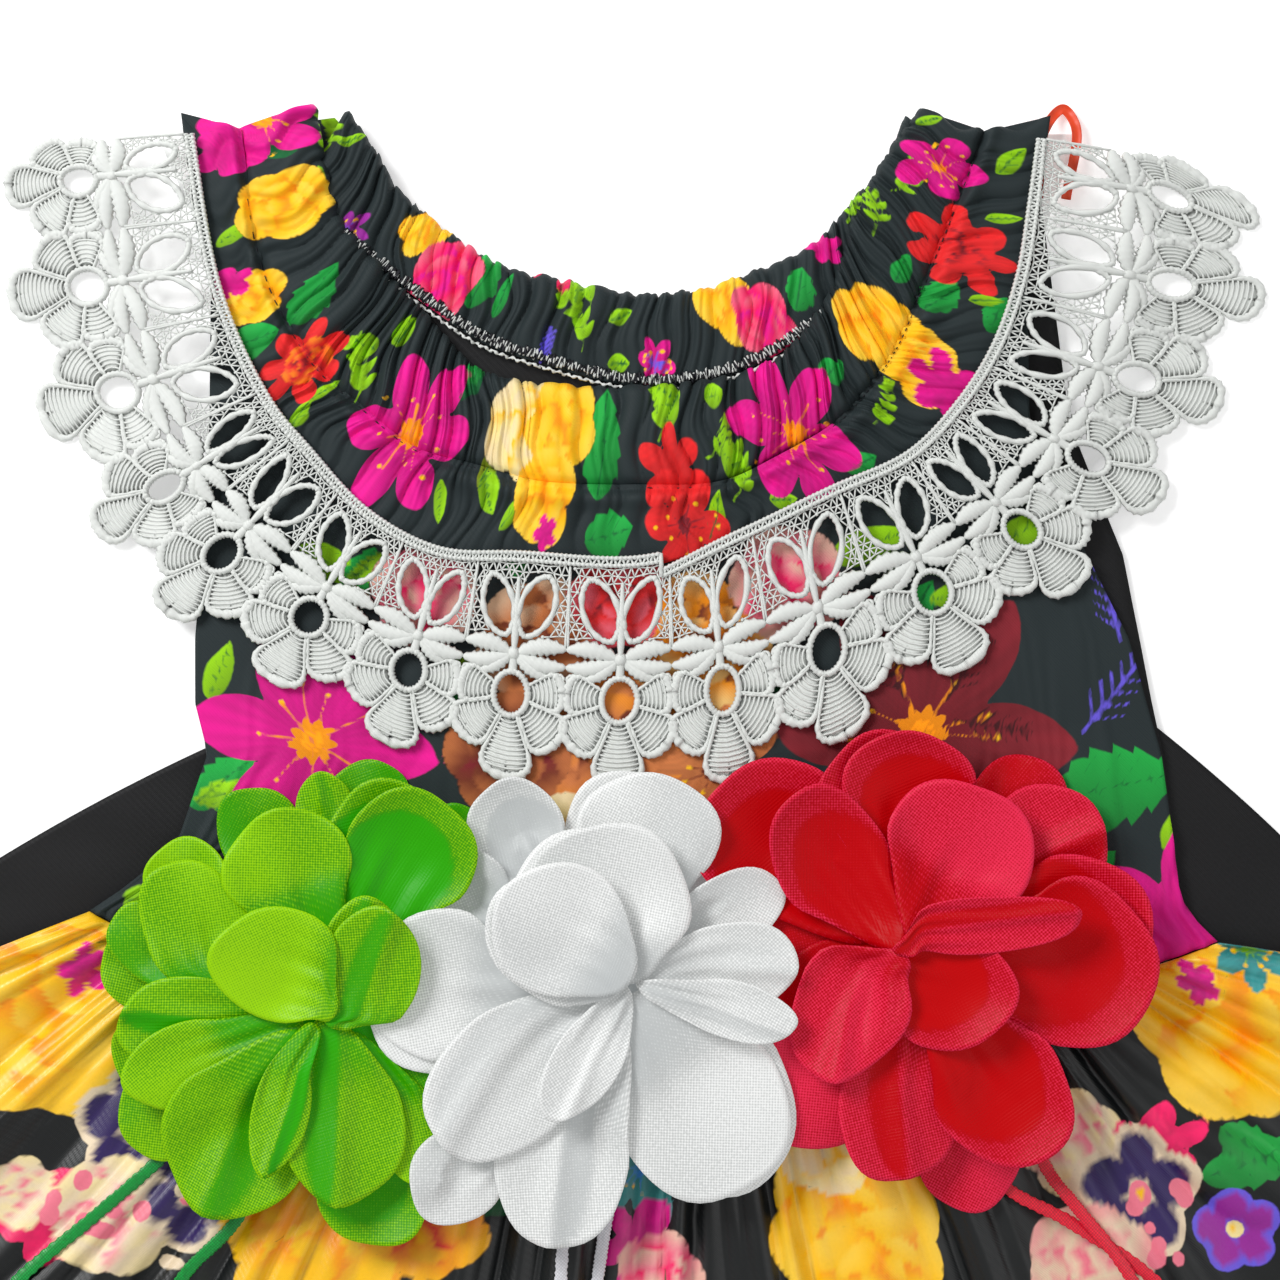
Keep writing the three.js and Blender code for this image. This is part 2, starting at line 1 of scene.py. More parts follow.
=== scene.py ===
# %% [markdown]
# # A toddler's folklorico dress, laid flat
# The CAD model of the dress is the fixed frame: every piece below is placed in its coordinates,
# and stands on the CAD node that it replaces. Tables and shapes are written in millimetres, the
# unit a pattern maker uses, and turned into metres only when a mesh is made.

# %% The frame
import math
import bpy
import numpy as np
from mathutils.bvhtree import BVHTree
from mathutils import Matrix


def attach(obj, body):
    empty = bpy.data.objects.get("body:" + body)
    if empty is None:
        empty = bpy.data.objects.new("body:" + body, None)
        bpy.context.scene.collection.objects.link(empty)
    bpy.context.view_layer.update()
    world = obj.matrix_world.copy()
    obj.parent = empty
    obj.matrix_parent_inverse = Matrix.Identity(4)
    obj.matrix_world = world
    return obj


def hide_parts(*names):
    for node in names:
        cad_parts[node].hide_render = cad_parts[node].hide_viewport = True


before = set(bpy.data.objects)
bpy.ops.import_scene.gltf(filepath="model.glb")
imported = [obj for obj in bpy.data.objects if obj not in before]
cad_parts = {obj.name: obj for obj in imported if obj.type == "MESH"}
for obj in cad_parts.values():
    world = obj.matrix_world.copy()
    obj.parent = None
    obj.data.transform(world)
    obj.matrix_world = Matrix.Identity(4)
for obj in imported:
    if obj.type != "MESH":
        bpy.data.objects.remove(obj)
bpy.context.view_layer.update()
MM = 0.001
print("CAD nodes:", len(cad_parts))

# %% [markdown]
# ## Camera
# The dress is looked at straight from above, close enough that only the chest, the neck and the
# top of the skirt are seen. A long lens keeps the sides upright, as a camera on a stand does.

# %% Camera
VIEW_WIDTH = 0.3072
CAMERA_HEIGHT = 0.9
camera = bpy.data.objects.new("camera", bpy.data.cameras.new("camera"))
bpy.context.collection.objects.link(camera)
camera.data.lens = camera.data.sensor_width * CAMERA_HEIGHT / VIEW_WIDTH
camera.location = (0, 0.1194, CAMERA_HEIGHT + 0.01)
bpy.context.scene.camera = camera
bpy.context.scene.view_settings.view_transform = "Standard"
print("lens", round(camera.data.lens, 1))

# %% [markdown]
# ## Small tools
# A garment is drafted as curves through measured points. The same centripetal curve that the CAD
# model uses is repeated here, so that both run through the same places.

# %% Curves and plans
def curve_of(table, column):
    """A smooth curve through two columns of a table, as a function of 0 to 1."""
    rows = np.array([[row[column], row[column + 1]] for row in table], float)
    points = np.vstack([2 * rows[0] - rows[1], rows, 2 * rows[-1] - rows[-2]])
    gaps = np.linalg.norm(np.diff(points, axis=0), axis=1) ** 0.5

    def at(t):
        t = np.clip(np.asarray(t, float), 0, 1) * (len(rows) - 1)
        i = np.minimum(t.astype(int), len(rows) - 2)
        w = (t - i)[..., None]
        p0, p1, p2, p3 = (points[i + k] for k in range(4))
        d0, d1, d2 = (gaps[i + k][..., None] for k in range(3))
        out = ((p1 - p0) / d0 - (p2 - p0) / (d0 + d1) + (p2 - p1) / d1) * d1
        into = ((p2 - p1) / d1 - (p3 - p1) / (d1 + d2) + (p3 - p2) / d2) * d1
        return (p1 + w * out + w**2 * (3 * (p2 - p1) - 2 * out - into)
                + w**3 * (2 * (p1 - p2) + out + into))
    return at


def column_of(table, key, column):
    """Straight interpolation in a table whose first column falls or rises."""
    rows = np.array(table, float)
    rows = rows[np.argsort(rows[:, 0])]
    return np.interp(key, rows[:, 0], rows[:, column])


def mix(a, b, share):
    return a + (b - a) * share


def band(inner, outer, trim_inner=0, trim_outer=0):
    """A plan between two curves; each edge is trimmed by a margin."""
    def plan(u, v):
        a, b = inner(u), outer(u)
        length = np.linalg.norm(b - a, axis=-1)
        share = mix(trim_inner / length, 1 - trim_outer / length, v)
        return a + (b - a) * share[..., None]
    return plan


def strip(line, width):
    """A plan of a strip of even width along a line."""
    def plan(u, v):
        ahead = line(u + 0.02) - line(u - 0.02)
        ahead = ahead / np.linalg.norm(ahead, axis=-1)[..., None]
        side = (np.asarray(v) - 0.5) * width
        return line(u) + side[..., None] * np.stack([-ahead[..., 1], ahead[..., 0]], -1)
    return plan


# %% [markdown]
# ## How high the cloth lies
# Each CAD node has been laid on the pile of cloth below it. A ray sent straight down on the node
# tells its height at a point, and a blur takes the facets out, so the fine cloth drapes softly
# over the same pile.

# %% Heights from the CAD
def blur(field, along, across):
    """Smooths a grid of heights, with its edges held."""
    for axis, reach in ((1, along), (0, across)):
        if reach < 0.3:
            continue
        count = int(3 * reach) + 1
        weights = np.exp(-0.5 * (np.arange(-count, count + 1) / reach) ** 2)
        weights /= weights.sum()
        pad = [(count, count) if k == axis else (0, 0) for k in range(2)]
        wide = np.pad(field, pad, mode="edge")
        size = field.shape[axis]
        field = sum(w * np.take(wide, range(k, k + size), axis) for k, w in enumerate(weights))
    return field


def resample(field, down, along):
    """A grid of heights, read again at shares of 0 to 1 down its rows and along its columns."""
    rows, columns = field.shape
    lines = np.array([np.interp(down * (rows - 1), range(rows), line) for line in field.T]).T
    return np.array([np.interp(along * (columns - 1), range(columns), line) for line in lines])


def top_of(node, plan, columns, rows, inset=0.004):
    """Height of a CAD node's upper side over a plan, on a coarse grid."""
    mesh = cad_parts[node].data
    tree = BVHTree.FromPolygons([v.co for v in mesh.vertices], [p.vertices for p in mesh.polygons])
    u, v = np.meshgrid(np.linspace(inset, 1 - inset, columns + 1),
                       np.linspace(inset, 1 - inset, rows + 1))
    places = plan(u, v)
    field = np.full(u.shape, np.nan)
    for j in range(rows + 1):
        for i in range(columns + 1):
            hit = tree.ray_cast((places[j, i, 0] * MM, places[j, i, 1] * MM, 0.2), (0, 0, -1))[0]
            if hit:
                field[j, i] = hit.z / MM
    for line in list(field) + list(field.T):
        known = ~np.isnan(line)
        if known.any() and not known.all():
            line[~known] = np.interp(np.flatnonzero(~known), np.flatnonzero(known), line[known])
    return np.nan_to_num(field, nan=float(np.nanmean(field)))


# %% [markdown]
# ## Making a piece
# Cloth is a thin shell: a top that carries the folds, an underside a little below it, and a
# narrow rim between them. Every piece rides on the dress, and the CAD nodes it stands for are hidden.

# %% Pieces
TABLE_GAP = 0.05


def corners_of(columns, rows):
    """The number of every corner of a grid, row by row."""
    return np.arange((columns + 1) * (rows + 1)).reshape(rows + 1, columns + 1)


def grid_faces(columns, rows):
    at = corners_of(columns, rows)
    return np.stack([at[:-1, :-1], at[:-1, 1:], at[1:, 1:], at[1:, :-1]], -1).reshape(-1, 4)


def rim_of(columns, rows):
    """The corners along the border of a grid, once round."""
    at = corners_of(columns, rows)
    return np.concatenate([at[0, :-1], at[:-1, -1], at[-1, :0:-1], at[:0:-1, 0]])


def shell(points, thickness, skip=1):
    """A grid of points as a thin closed shell: all its points, and its faces. The underside, which
    nobody sees, takes only every skip-th point, no higher than the lowest one near it."""
    rows, columns = points.shape[0] - 1, points.shape[1] - 1
    fewer_columns, fewer_rows = columns // skip, rows // skip
    fine, rim = grid_faces(columns, rows), rim_of(columns, rows)
    coarse, low_rim = grid_faces(fewer_columns, fewer_rows), rim_of(fewer_columns, fewer_rows)
    lowest = points[..., 2]
    for axis in (0, 1):
        near = np.pad(lowest, [(skip - 1,) * 2 if k == axis else (0, 0) for k in (0, 1)], "edge")
        length = lowest.shape[axis]
        lowest = np.min([np.take(near, range(k, k + length), axis) for k in range(2 * skip - 1)], axis=0)
    under = np.maximum(lowest - thickness, TABLE_GAP)
    low = np.dstack([points[..., :2], under])[::skip, ::skip].reshape(-1, 3)
    top = points.reshape(-1, 3)
    edge = [[int(rim[(k * skip + step) % len(rim)]) for step in range(skip + 1)]
            + [int(low_rim[(k + 1) % len(low_rim)]) + len(top), int(low_rim[k]) + len(top)]
            for k in range(len(low_rim))]
    a, b, c = points[0, 0], points[0, 1], points[1, 1]
    faces = fine.tolist() + (coarse[:, ::-1] + len(top)).tolist() + [side[::-1] for side in edge]
    if (b[0] - a[0]) * (c[1] - a[1]) - (b[1] - a[1]) * (c[0] - a[0]) < 0:
        faces = [face[::-1] for face in faces]
    return np.vstack([top, low]), faces


def add_piece(name, points, faces, material, slot, nodes=(), crisp=None):
    """Makes a smooth piece; faces marked as crisp, such as cut edges, are left flat."""
    mesh = bpy.data.meshes.new(name)
    mesh.from_pydata((np.asarray(points) * MM).tolist(), [], [list(map(int, f)) for f in faces])
    mesh.materials.append(material)
    mesh.shade_smooth()
    if crisp is not None:
        mesh.polygons.foreach_set("use_smooth", np.logical_not(crisp))
    piece = bpy.data.objects.new(name, mesh)
    bpy.context.collection.objects.link(piece)
    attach(piece, "root")
    if nodes:
        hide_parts(*nodes)
    return piece


def mark(piece, name, values):
    """Stores a number or a colour on every corner of a piece's mesh."""
    values = np.asarray(values, np.float32)
    kind, key = ("FLOAT_COLOR", "color") if values.ndim == 2 else ("FLOAT", "value")
    store = piece.data.attributes.new(name, kind, "POINT")
    store.data.foreach_set(key, values.ravel())


def area_of(points):
    """Surface of a grid of points, in square metres."""
    a, b, c = points[:-1, :-1], points[:-1, 1:], points[1:, :-1]
    d = points[1:, 1:]
    one = np.linalg.norm(np.cross(b - a, c - a), axis=-1)
    two = np.linalg.norm(np.cross(b - d, c - d), axis=-1)
    return float((one + two).sum() / 2) * MM * MM


# %% [markdown]
# ## Finishes
# Two effects are used by most cloths, so each is a node group that is built once. The first is a
# weave: fine diagonal ribs for a knit or a twill, crossed threads for a satin. The second is the
# print, which reads what was stored on the cloth: for each of three layers of ink a distance to
# the edge of its shapes, and a colour.

# %% Node tools
def linear(red, green, blue, alpha=1.0):
    """A screen colour, 0 to 255, as the linear colour that shaders use."""
    return tuple((c / 255) ** 2.2 for c in (red, green, blue)) + (alpha,)


def put(tree, kind, wires=None, **settings):
    """Adds a node, sets its properties, and fills its sockets with values or links."""
    made = tree.nodes.new(kind)
    for key, value in settings.items():
        setattr(made, key, value)
    for socket, value in (wires or {}).items():
        if isinstance(value, bpy.types.NodeSocket):
            tree.links.new(value, made.inputs[socket])
        else:
            made.inputs[socket].default_value = value
    return made


def group(name, inputs, outputs):
    """A new shader node group, with its input and output nodes."""
    tree = bpy.data.node_groups.new(name, "ShaderNodeTree")
    for label, kind, value in inputs:
        tree.interface.new_socket(label, in_out="INPUT", socket_type=kind).default_value = value
    for label, kind in outputs:
        tree.interface.new_socket(label, in_out="OUTPUT", socket_type=kind)
    return tree, tree.nodes.new("NodeGroupInput").outputs, tree.nodes.new("NodeGroupOutput")


def glow(material, strength, own_colour=False):
    """Lets a material shine a little, in white or in the colour that is painted on it."""
    tree = material.node_tree
    shader = tree.nodes["Principled BSDF"]
    shader.inputs["Emission Color"].default_value = (1, 1, 1, 1)
    shader.inputs["Emission Strength"].default_value = strength
    if own_colour:
        paint = shader.inputs["Base Color"].links[0].from_socket
        tree.links.new(paint, shader.inputs["Emission Color"])


FLOAT, COLOUR = "NodeSocketFloat", "NodeSocketColor"
LAYERS = ("leaf", "bloom", "detail")


def maths(tree, operation, a, b=0.0, c=0.0):
    return put(tree, "ShaderNodeMath", {0: a, 1: b, 2: c}, operation=operation).outputs[0]


# %% Weave group
def weave_group():
    """Ribs and threads in the plane of the cloth. Spacing is in millimetres."""
    tree, given, result = group("weave", [("Place", "NodeSocketVector", (0, 0, 0)),
                                          ("Rib mm", FLOAT, 0.8), ("Thread mm", FLOAT, 0.45)],
                                [("Height", FLOAT), ("Glint", FLOAT)])
    place = given["Place"]
    cut = put(tree, "ShaderNodeSeparateXYZ", {0: place}).outputs
    x = maths(tree, "MULTIPLY", cut[0], 1000.0)
    y = maths(tree, "MULTIPLY", cut[1], 1000.0)
    z = maths(tree, "MULTIPLY", cut[2], 700.0)
    yz = maths(tree, "ADD", y, z)

    def wave(distance, spacing):
        turns = maths(tree, "DIVIDE", maths(tree, "MULTIPLY", distance, 6.283), given[spacing])
        return maths(tree, "SINE", turns)

    ribs = maths(tree, "MULTIPLY_ADD", wave(maths(tree, "ADD", x, yz), "Rib mm"), 0.5, 0.5)
    across, along = wave(x, "Thread mm"), wave(yz, "Thread mm")
    threads = maths(tree, "MULTIPLY_ADD", maths(tree, "MULTIPLY", across, along), 0.5, 0.5)
    grain = put(tree, "ShaderNodeTexNoise", {"Vector": place, "Scale": 1400.0, "Detail": 2.0})
    mixed = maths(tree, "MULTIPLY_ADD", ribs, 0.5, maths(tree, "MULTIPLY", threads, 0.5))
    tree.links.new(maths(tree, "MULTIPLY_ADD", grain.outputs[0], 0.5, mixed), result.inputs["Height"])
    # Glint marks the threads where a painted glint will lighten the colour.
    tree.links.new(maths(tree, "MULTIPLY", threads, grain.outputs[0]), result.inputs["Glint"])
    return tree


# %% Print group
def print_group():
    """Three layers of ink over a ground, from the distances and colours stored on the cloth."""
    tree, given, result = group("print", [("Ground", COLOUR, (0, 0, 0, 1)), ("Edge", FLOAT, 0.22)],
                                [("Color", COLOUR)])
    place = put(tree, "ShaderNodeTexCoord").outputs["Object"]
    brush = put(tree, "ShaderNodeTexNoise", {"Vector": place, "Scale": 260.0, "Detail": 3.0})
    wobble = maths(tree, "MULTIPLY_ADD", brush.outputs[0], 0.9, -0.45)
    colour = given["Ground"]
    for layer in LAYERS:
        away = put(tree, "ShaderNodeAttribute", attribute_name=layer + "_edge").outputs["Fac"]
        ink = put(tree, "ShaderNodeAttribute", attribute_name=layer + "_ink").outputs["Color"]
        away = maths(tree, "MULTIPLY_ADD", wobble, 0.5 if layer == "detail" else 1.0, away)
        cover = put(tree, "ShaderNodeMapRange", {"Value": away, "From Min": given["Edge"],
                    "From Max": maths(tree, "MULTIPLY", given["Edge"], -1.0)}).outputs[0]
        wash = put(tree, "ShaderNodeTexNoise", {"Vector": place, "Scale": 90.0, "Detail": 1.0})
        tone = put(tree, "ShaderNodeMapRange", {"Value": wash.outputs[0], "From Min": 0.3,
                   "From Max": 0.7, "To Min": 0.94, "To Max": 1.05}).outputs[0]
        ink = put(tree, "ShaderNodeVectorMath", {0: ink, 3: tone}, operation="SCALE").outputs[0]
        colour = put(tree, "ShaderNodeMix", {0: cover, 6: colour, 7: ink},
                     data_type="RGBA").outputs[2]
    tree.links.new(colour, result.inputs["Color"])
    return tree


WEAVE, PRINT = weave_group(), print_group()


# %% [markdown]
# ## Cloth material
# One maker's recipe serves all the cloths. A matt knit has wide ribs and a broad soft sheen; a
# satin has fine threads, is smoother, and shows its weave as a painted glint in the colour. The
# satin of the flowers is so thin that light comes through, which a faint glow stands for.

# %% Cloth finishes
def finish(name, colour, roughness, rib, thread, depth, sheen=0.0, printed=False, glint=0.0,
           petal=None, gloss=0.5):
    """A cloth. petal holds two more colours of a satin petal: its painted shade, where it turns
    away from the light, and the painted highlight of its bright threads."""
    material = bpy.data.materials.new(name)
    material.use_nodes = True
    tree = material.node_tree
    shader = tree.nodes["Principled BSDF"]
    if petal:
        place = put(tree, "ShaderNodeAttribute", attribute_name="grain").outputs["Vector"]
    else:
        place = put(tree, "ShaderNodeTexCoord").outputs["Object"]
    weave = put(tree, "ShaderNodeGroup", {}, node_tree=WEAVE)
    tree.links.new(place, weave.inputs["Place"])
    weave.inputs["Rib mm"].default_value = rib
    weave.inputs["Thread mm"].default_value = thread
    if printed:
        ink = put(tree, "ShaderNodeGroup", {}, node_tree=PRINT)
        ink.inputs["Ground"].default_value = colour
        paint = ink.outputs["Color"]
    elif petal:
        # Painted shade and highlight: the colour turns to the painted shade where the petal turns away
        # from the light, and its threads glint brighter where it faces the light.
        painted_shade, bright = petal
        away = put(tree, "ShaderNodeAttribute", attribute_name="depth").outputs["Fac"]
        lit = maths(tree, "MULTIPLY_ADD", away, -0.42, weave.outputs["Glint"])
        threads = put(tree, "ShaderNodeMapRange", {"Value": lit, "From Min": 0.1,
                      "From Max": 0.5}).outputs[0]
        face = put(tree, "ShaderNodeMix", {0: threads, 6: colour, 7: bright},
                   data_type="RGBA").outputs[2]
        paint = put(tree, "ShaderNodeMix", {0: away, 6: face, 7: painted_shade},
                    data_type="RGBA").outputs[2]
    else:
        wear = put(tree, "ShaderNodeTexNoise", {"Scale": 60.0, "Detail": 3.0, "Vector": place})
        worn = tuple(c * 0.86 for c in colour[:3]) + (1,)
        paint = put(tree, "ShaderNodeMix", {0: wear.outputs[0], 6: worn, 7: colour},
                    data_type="RGBA").outputs[2]
    # A painted glint: the threads of the weave lighten and darken the colour, as satin catches the light.
    if glint:
        shine = put(tree, "ShaderNodeMapRange", {"Value": weave.outputs["Glint"], "From Min": 0.1,
                    "From Max": 0.5, "To Min": 1 - glint, "To Max": 1 + glint}).outputs[0]
        paint = put(tree, "ShaderNodeVectorMath", {0: paint, 3: shine}, operation="SCALE").outputs[0]
    tree.links.new(paint, shader.inputs["Base Color"])
    shader.inputs["Roughness"].default_value = roughness
    shader.inputs["Sheen Weight"].default_value = sheen
    shader.inputs["Sheen Roughness"].default_value = 0.4
    shader.inputs["Specular IOR Level"].default_value = gloss
    bump = put(tree, "ShaderNodeBump", {"Height": weave.outputs["Height"], "Strength": 0.6,
                                        "Distance": depth * MM})
    tree.links.new(bump.outputs[0], shader.inputs["Normal"])
    return material


def petal_satin(name, face, painted_shade, bright, thread, depth, gloss, strength):
    """The satin of a flower, with the glow of light that comes through it."""
    satin = finish(name, linear(*face), roughness=0.42, rib=1.1, thread=thread, depth=depth,
                   petal=(linear(*painted_shade), linear(*bright)), gloss=gloss)
    glow(satin, strength, own_colour=True)
    return satin


# A ribbon's satin; glint sets how strongly a painted glint lightens its weave.
def ribbon_satin(name, colour, glint):
    return finish(name, linear(*colour), roughness=0.34, rib=0.9, thread=0.8, depth=0.03, sheen=0.1,
                  glint=glint)


def white_cotton(name, colour):
    return finish(name, linear(*colour), roughness=0.75, rib=0.5, thread=0.35, depth=0.14, sheen=0.2)


printed_knit = finish("printed knit", linear(37, 46, 48), roughness=0.7, rib=0.75, thread=0.5,
                      depth=0.1, sheen=0.03, printed=True, gloss=0.3)
printed_satin = finish("printed satin", linear(17, 20, 21), roughness=0.34, rib=0.5, thread=0.4,
                       depth=0.05, printed=True, glint=0.06)
black_cloth = finish("black cloth", linear(22, 22, 24), roughness=0.6, rib=0.6, thread=0.45,
                     depth=0.1, sheen=0.1, glint=0.5, gloss=0.3)
lace_thread = white_cotton("lace thread", (228, 231, 227))
# The lace behind is a brighter copy of the lace thread and glows a little: painted light, so it is not
# grey in the shade of the lace above.
back_lace = white_cotton("back lace", (250, 252, 250))
glow(back_lace, 0.2)
# Each satin petal gets its own colour, its painted shade, and the painted highlight of its bright threads.
green_satin = petal_satin("green satin", (66, 137, 0), (43, 156, 0), (141, 197, 13), 0.9, 0.08, 0.16, 0.15)
white_satin = petal_satin("white satin", (177, 179, 178), (166, 170, 171), (219, 220, 219), 0.95, 0.07,
                          0.3, 0.26)
red_satin = petal_satin("red satin", (167, 0, 24), (178, 0, 13), (222, 48, 80), 0.95, 0.08, 0.1, 0.15)
green_ribbon = ribbon_satin("green ribbon", (0, 150, 60), 0.4)
white_ribbon = ribbon_satin("white ribbon", (222, 222, 228), 0.16)
red_ribbon = ribbon_satin("red ribbon", (226, 32, 56), 0.3)
orange_ribbon = finish("orange ribbon", linear(228, 70, 28), roughness=0.4, rib=0.3, thread=0.3,
                       depth=0.03, sheen=0.1)
dark_thread = finish("dark thread", linear(26, 26, 34), roughness=0.7, rib=0.3, thread=0.3, depth=0.04)
print("finishes:", len(bpy.data.materials))

# %% [markdown]
# ## Ribbon tails
# Two narrow satin ribbons hang from each flower and lie loose on the skirt. Each has woven
# edges with tiny loops. It is a fixed length of something limp, so it is made first: a flat
# strip along a smooth line over the folds, ending where it was cut.

# %% Ribbons
RIBBON_WIDTH, RIBBON_SINK = 3.2, 0.35
PICOT, PICOT_STEP = 0.12, 0.9
RIBBONS = {
    "green_1": [[-98, 14], [-114, -4], [-131, -19], [-149, -34], [-165, -52], [-176, -74]],
    "green_2": [[-88, 2], [-97, -20], [-110, -34], [-119, -52], [-124, -74], [-122, -96]],
    "white_1": [[-17, 8], [-18, -14], [-19, -34], [-20, -56], [-17, -80], [-9, -102]],
    "white_2": [[-6, 12], [-6, -8], [-9, -26], [-11, -44], [-10, -66], [-1, -88]],
    "red_1": [[84, 10], [86, -10], [104, -21], [123, -34], [138, -52], [146, -76]],
    "red_2": [[92, 8], [98, -8], [105, -17], [118, -34], [126, -56], [124, -82]],
}
RIBBON_FINISH = {"green": green_ribbon, "white": white_ribbon, "red": red_ribbon}
tails = []


def add_ribbon(name, route):
    """A flat strip that lies on the skirt, with picots along both edges."""
    stations = 180
    line = curve_of(route, 0)
    u = np.linspace(0, 1, stations + 1)
    height = top_of("ribbon_" + name, strip(line, 1.0), 60, 2, 0.01).max(0)
    height = np.interp(u, np.linspace(0, 1, len(height)), height)
    height = blur(height[None], 7, 0)[0] - RIBBON_SINK
    centre = np.column_stack([line(u), height])
    ahead = np.gradient(centre, axis=0)
    along = np.cumsum(np.linalg.norm(ahead, axis=1))
    side = np.column_stack([-ahead[:, 1], ahead[:, 0], 0 * u])
    side /= np.linalg.norm(side, axis=1)[:, None]
    half = RIBBON_WIDTH / 2 - PICOT + PICOT * np.sign(np.sin(2 * np.pi * along / PICOT_STEP))
    twist = 0.25 * np.sin(along / 9.0)
    lines = []
    for share, lift in ((-1, 0.12), (-0.8, 0.3), (0, 0.36), (0.8, 0.3), (1, 0.12)):
        lines.append(centre + side * (half * share)[:, None]
                     + np.column_stack([0 * u, 0 * u, lift + twist * share]))
    tails.append(np.stack(lines, 0))
    points, faces = shell(tails[-1], 0.3)
    flower = name.split("_")[0]
    piece = add_piece("tail_" + name, points, faces, RIBBON_FINISH[flower],
                      flower + "_ribbon", ["ribbon_" + name])


for ribbon, route in RIBBONS.items():
    add_ribbon(ribbon, route)

# %% [markdown]
# ## Table and light
# The dress lies on a plain white light table under two large soft lamps and a bright room. The
# table glows a little, so the holes of the lace look white and not grey.

# %% Table and light
table = bpy.data.objects.new("table", bpy.data.meshes.new("table"))
table.data.from_pydata([(-3, -3, 0), (3, -3, 0), (3, 3, 0), (-3, 3, 0)], [], [(0, 1, 2, 3)])
bpy.context.collection.objects.link(table)
table.location.z = -0.0004
white = bpy.data.materials.new("white table")
white.use_nodes = True
white.node_tree.nodes["Principled BSDF"].inputs["Base Color"].default_value = (0.96, 0.96, 0.96, 1)
white.node_tree.nodes["Principled BSDF"].inputs["Roughness"].default_value = 0.9
glow(white, 0.34)
table.data.materials.append(white)

for name, place, size, power in (("key lamp", (-0.75, 0.75, 0.95), 0.5, 14.5),
                                 ("fill lamp", (0.9, -0.2, 1.0), 1.2, 3.0)):
    lamp = bpy.data.objects.new(name, bpy.data.lights.new(name, "AREA"))
    lamp.data.size = size
    lamp.data.energy = power
    lamp.location = place
    aim = np.array([0, 0.1, 0]) - np.array(place)
    lamp.rotation_euler = (math.acos(-aim[2] / np.linalg.norm(aim)), 0,
                           math.atan2(aim[1], aim[0]) - math.pi / 2)
    bpy.context.collection.objects.link(lamp)
world = bpy.data.worlds.new("room")
bpy.context.scene.world = world
world.use_nodes = True
world.node_tree.nodes["Background"].inputs[0].default_value = (1, 1, 1, 1)
world.node_tree.nodes["Background"].inputs[1].default_value = 0.47

# %% [markdown]
# ## The printed flowers
# The cloth is printed with bright blooms, leaves and sprigs on charcoal. The shapes are drafted
# here as distances from an outline, which give a crisp edge at any size. For each layer of ink the
# cloth keeps the distance to the nearest outline and the colour inside it.

# %% Layers of ink
INK = {name: np.array(linear(*rgb)) for name, rgb in {
    "magenta": (226, 18, 140), "pink": (243, 28, 100), "rose": (238, 120, 140),
    "yellow": (252, 192, 20), "orange": (250, 150, 12), "cream": (244, 222, 150),
    "red": (226, 40, 42), "wine": (126, 34, 44), "green": (28, 146, 60), "deep": (12, 92, 48),
    "lime": (134, 190, 14), "violet": (104, 88, 216), "tan": (206, 122, 70),
    "brown": (120, 56, 36), "navy": (48, 32, 88), "shell": (230, 208, 176), "teal": (62, 150, 150),
    "sky": (60, 140, 222), "honey": (255, 212, 76), "dusk": (66, 20, 26),
    "plum": (150, 40, 150), "olive": (110, 124, 22)}.items()}
NO_INK = 9.0


def blank(x, y, hub=None, drawn=0.64):
    """A cloth before printing: where its points lie, and three empty layers of ink."""
    cloth = {"x": x.ravel(), "y": y.ravel(), "shape": x.shape}
    if hub:
        cloth["hub"], cloth["drawn"] = hub, drawn
    for layer in LAYERS:
        cloth[layer] = (np.full(x.size, NO_INK), np.tile(INK["lime"], (x.size, 1)))
    return cloth


def near_to(cloth, x, y, reach, turn):
    """The points of the cloth near a place, and where they lie from it, turned. Where elastic
    has drawn the cloth together round a hub, its flowers are drawn together as well."""
    across, up = cloth["x"] - x, cloth["y"] - y
    near = np.flatnonzero(across**2 + up**2 < reach**2)
    across, up = across[near], up[near]
    if "hub" in cloth:
        out_x, out_y = x - cloth["hub"][0], y - cloth["hub"][1]
        far = math.hypot(out_x, out_y)
        round_it = (up * out_x - across * out_y) / far
        more = round_it * (1 / cloth["drawn"] - 1)
        across, up = across - more * out_y / far, up + more * out_x / far
    c, s = math.cos(math.radians(turn)), math.sin(math.radians(turn))
    return near, across * c + up * s, up * c - across * s


def ink(cloth, layer, near, away, colour, tone=1.0):
    """Lays one shape into a layer; the last shape laid covers the others."""
    edge, stain = cloth[layer]
    here = (away < 0) | (away < edge[near])
    tone = np.broadcast_to(tone, away.shape)[here, None]
    stain[near[here], :3] = (INK[colour][:3] if isinstance(colour, str) else colour[here]) * tone
    edge[near[here]] = away[here]


def cover(cloth, near, away):
    """Takes finer ink away where a new bloom lies over it."""
    edge = cloth["detail"][0]
    edge[near[away < 0.4]] = NO_INK


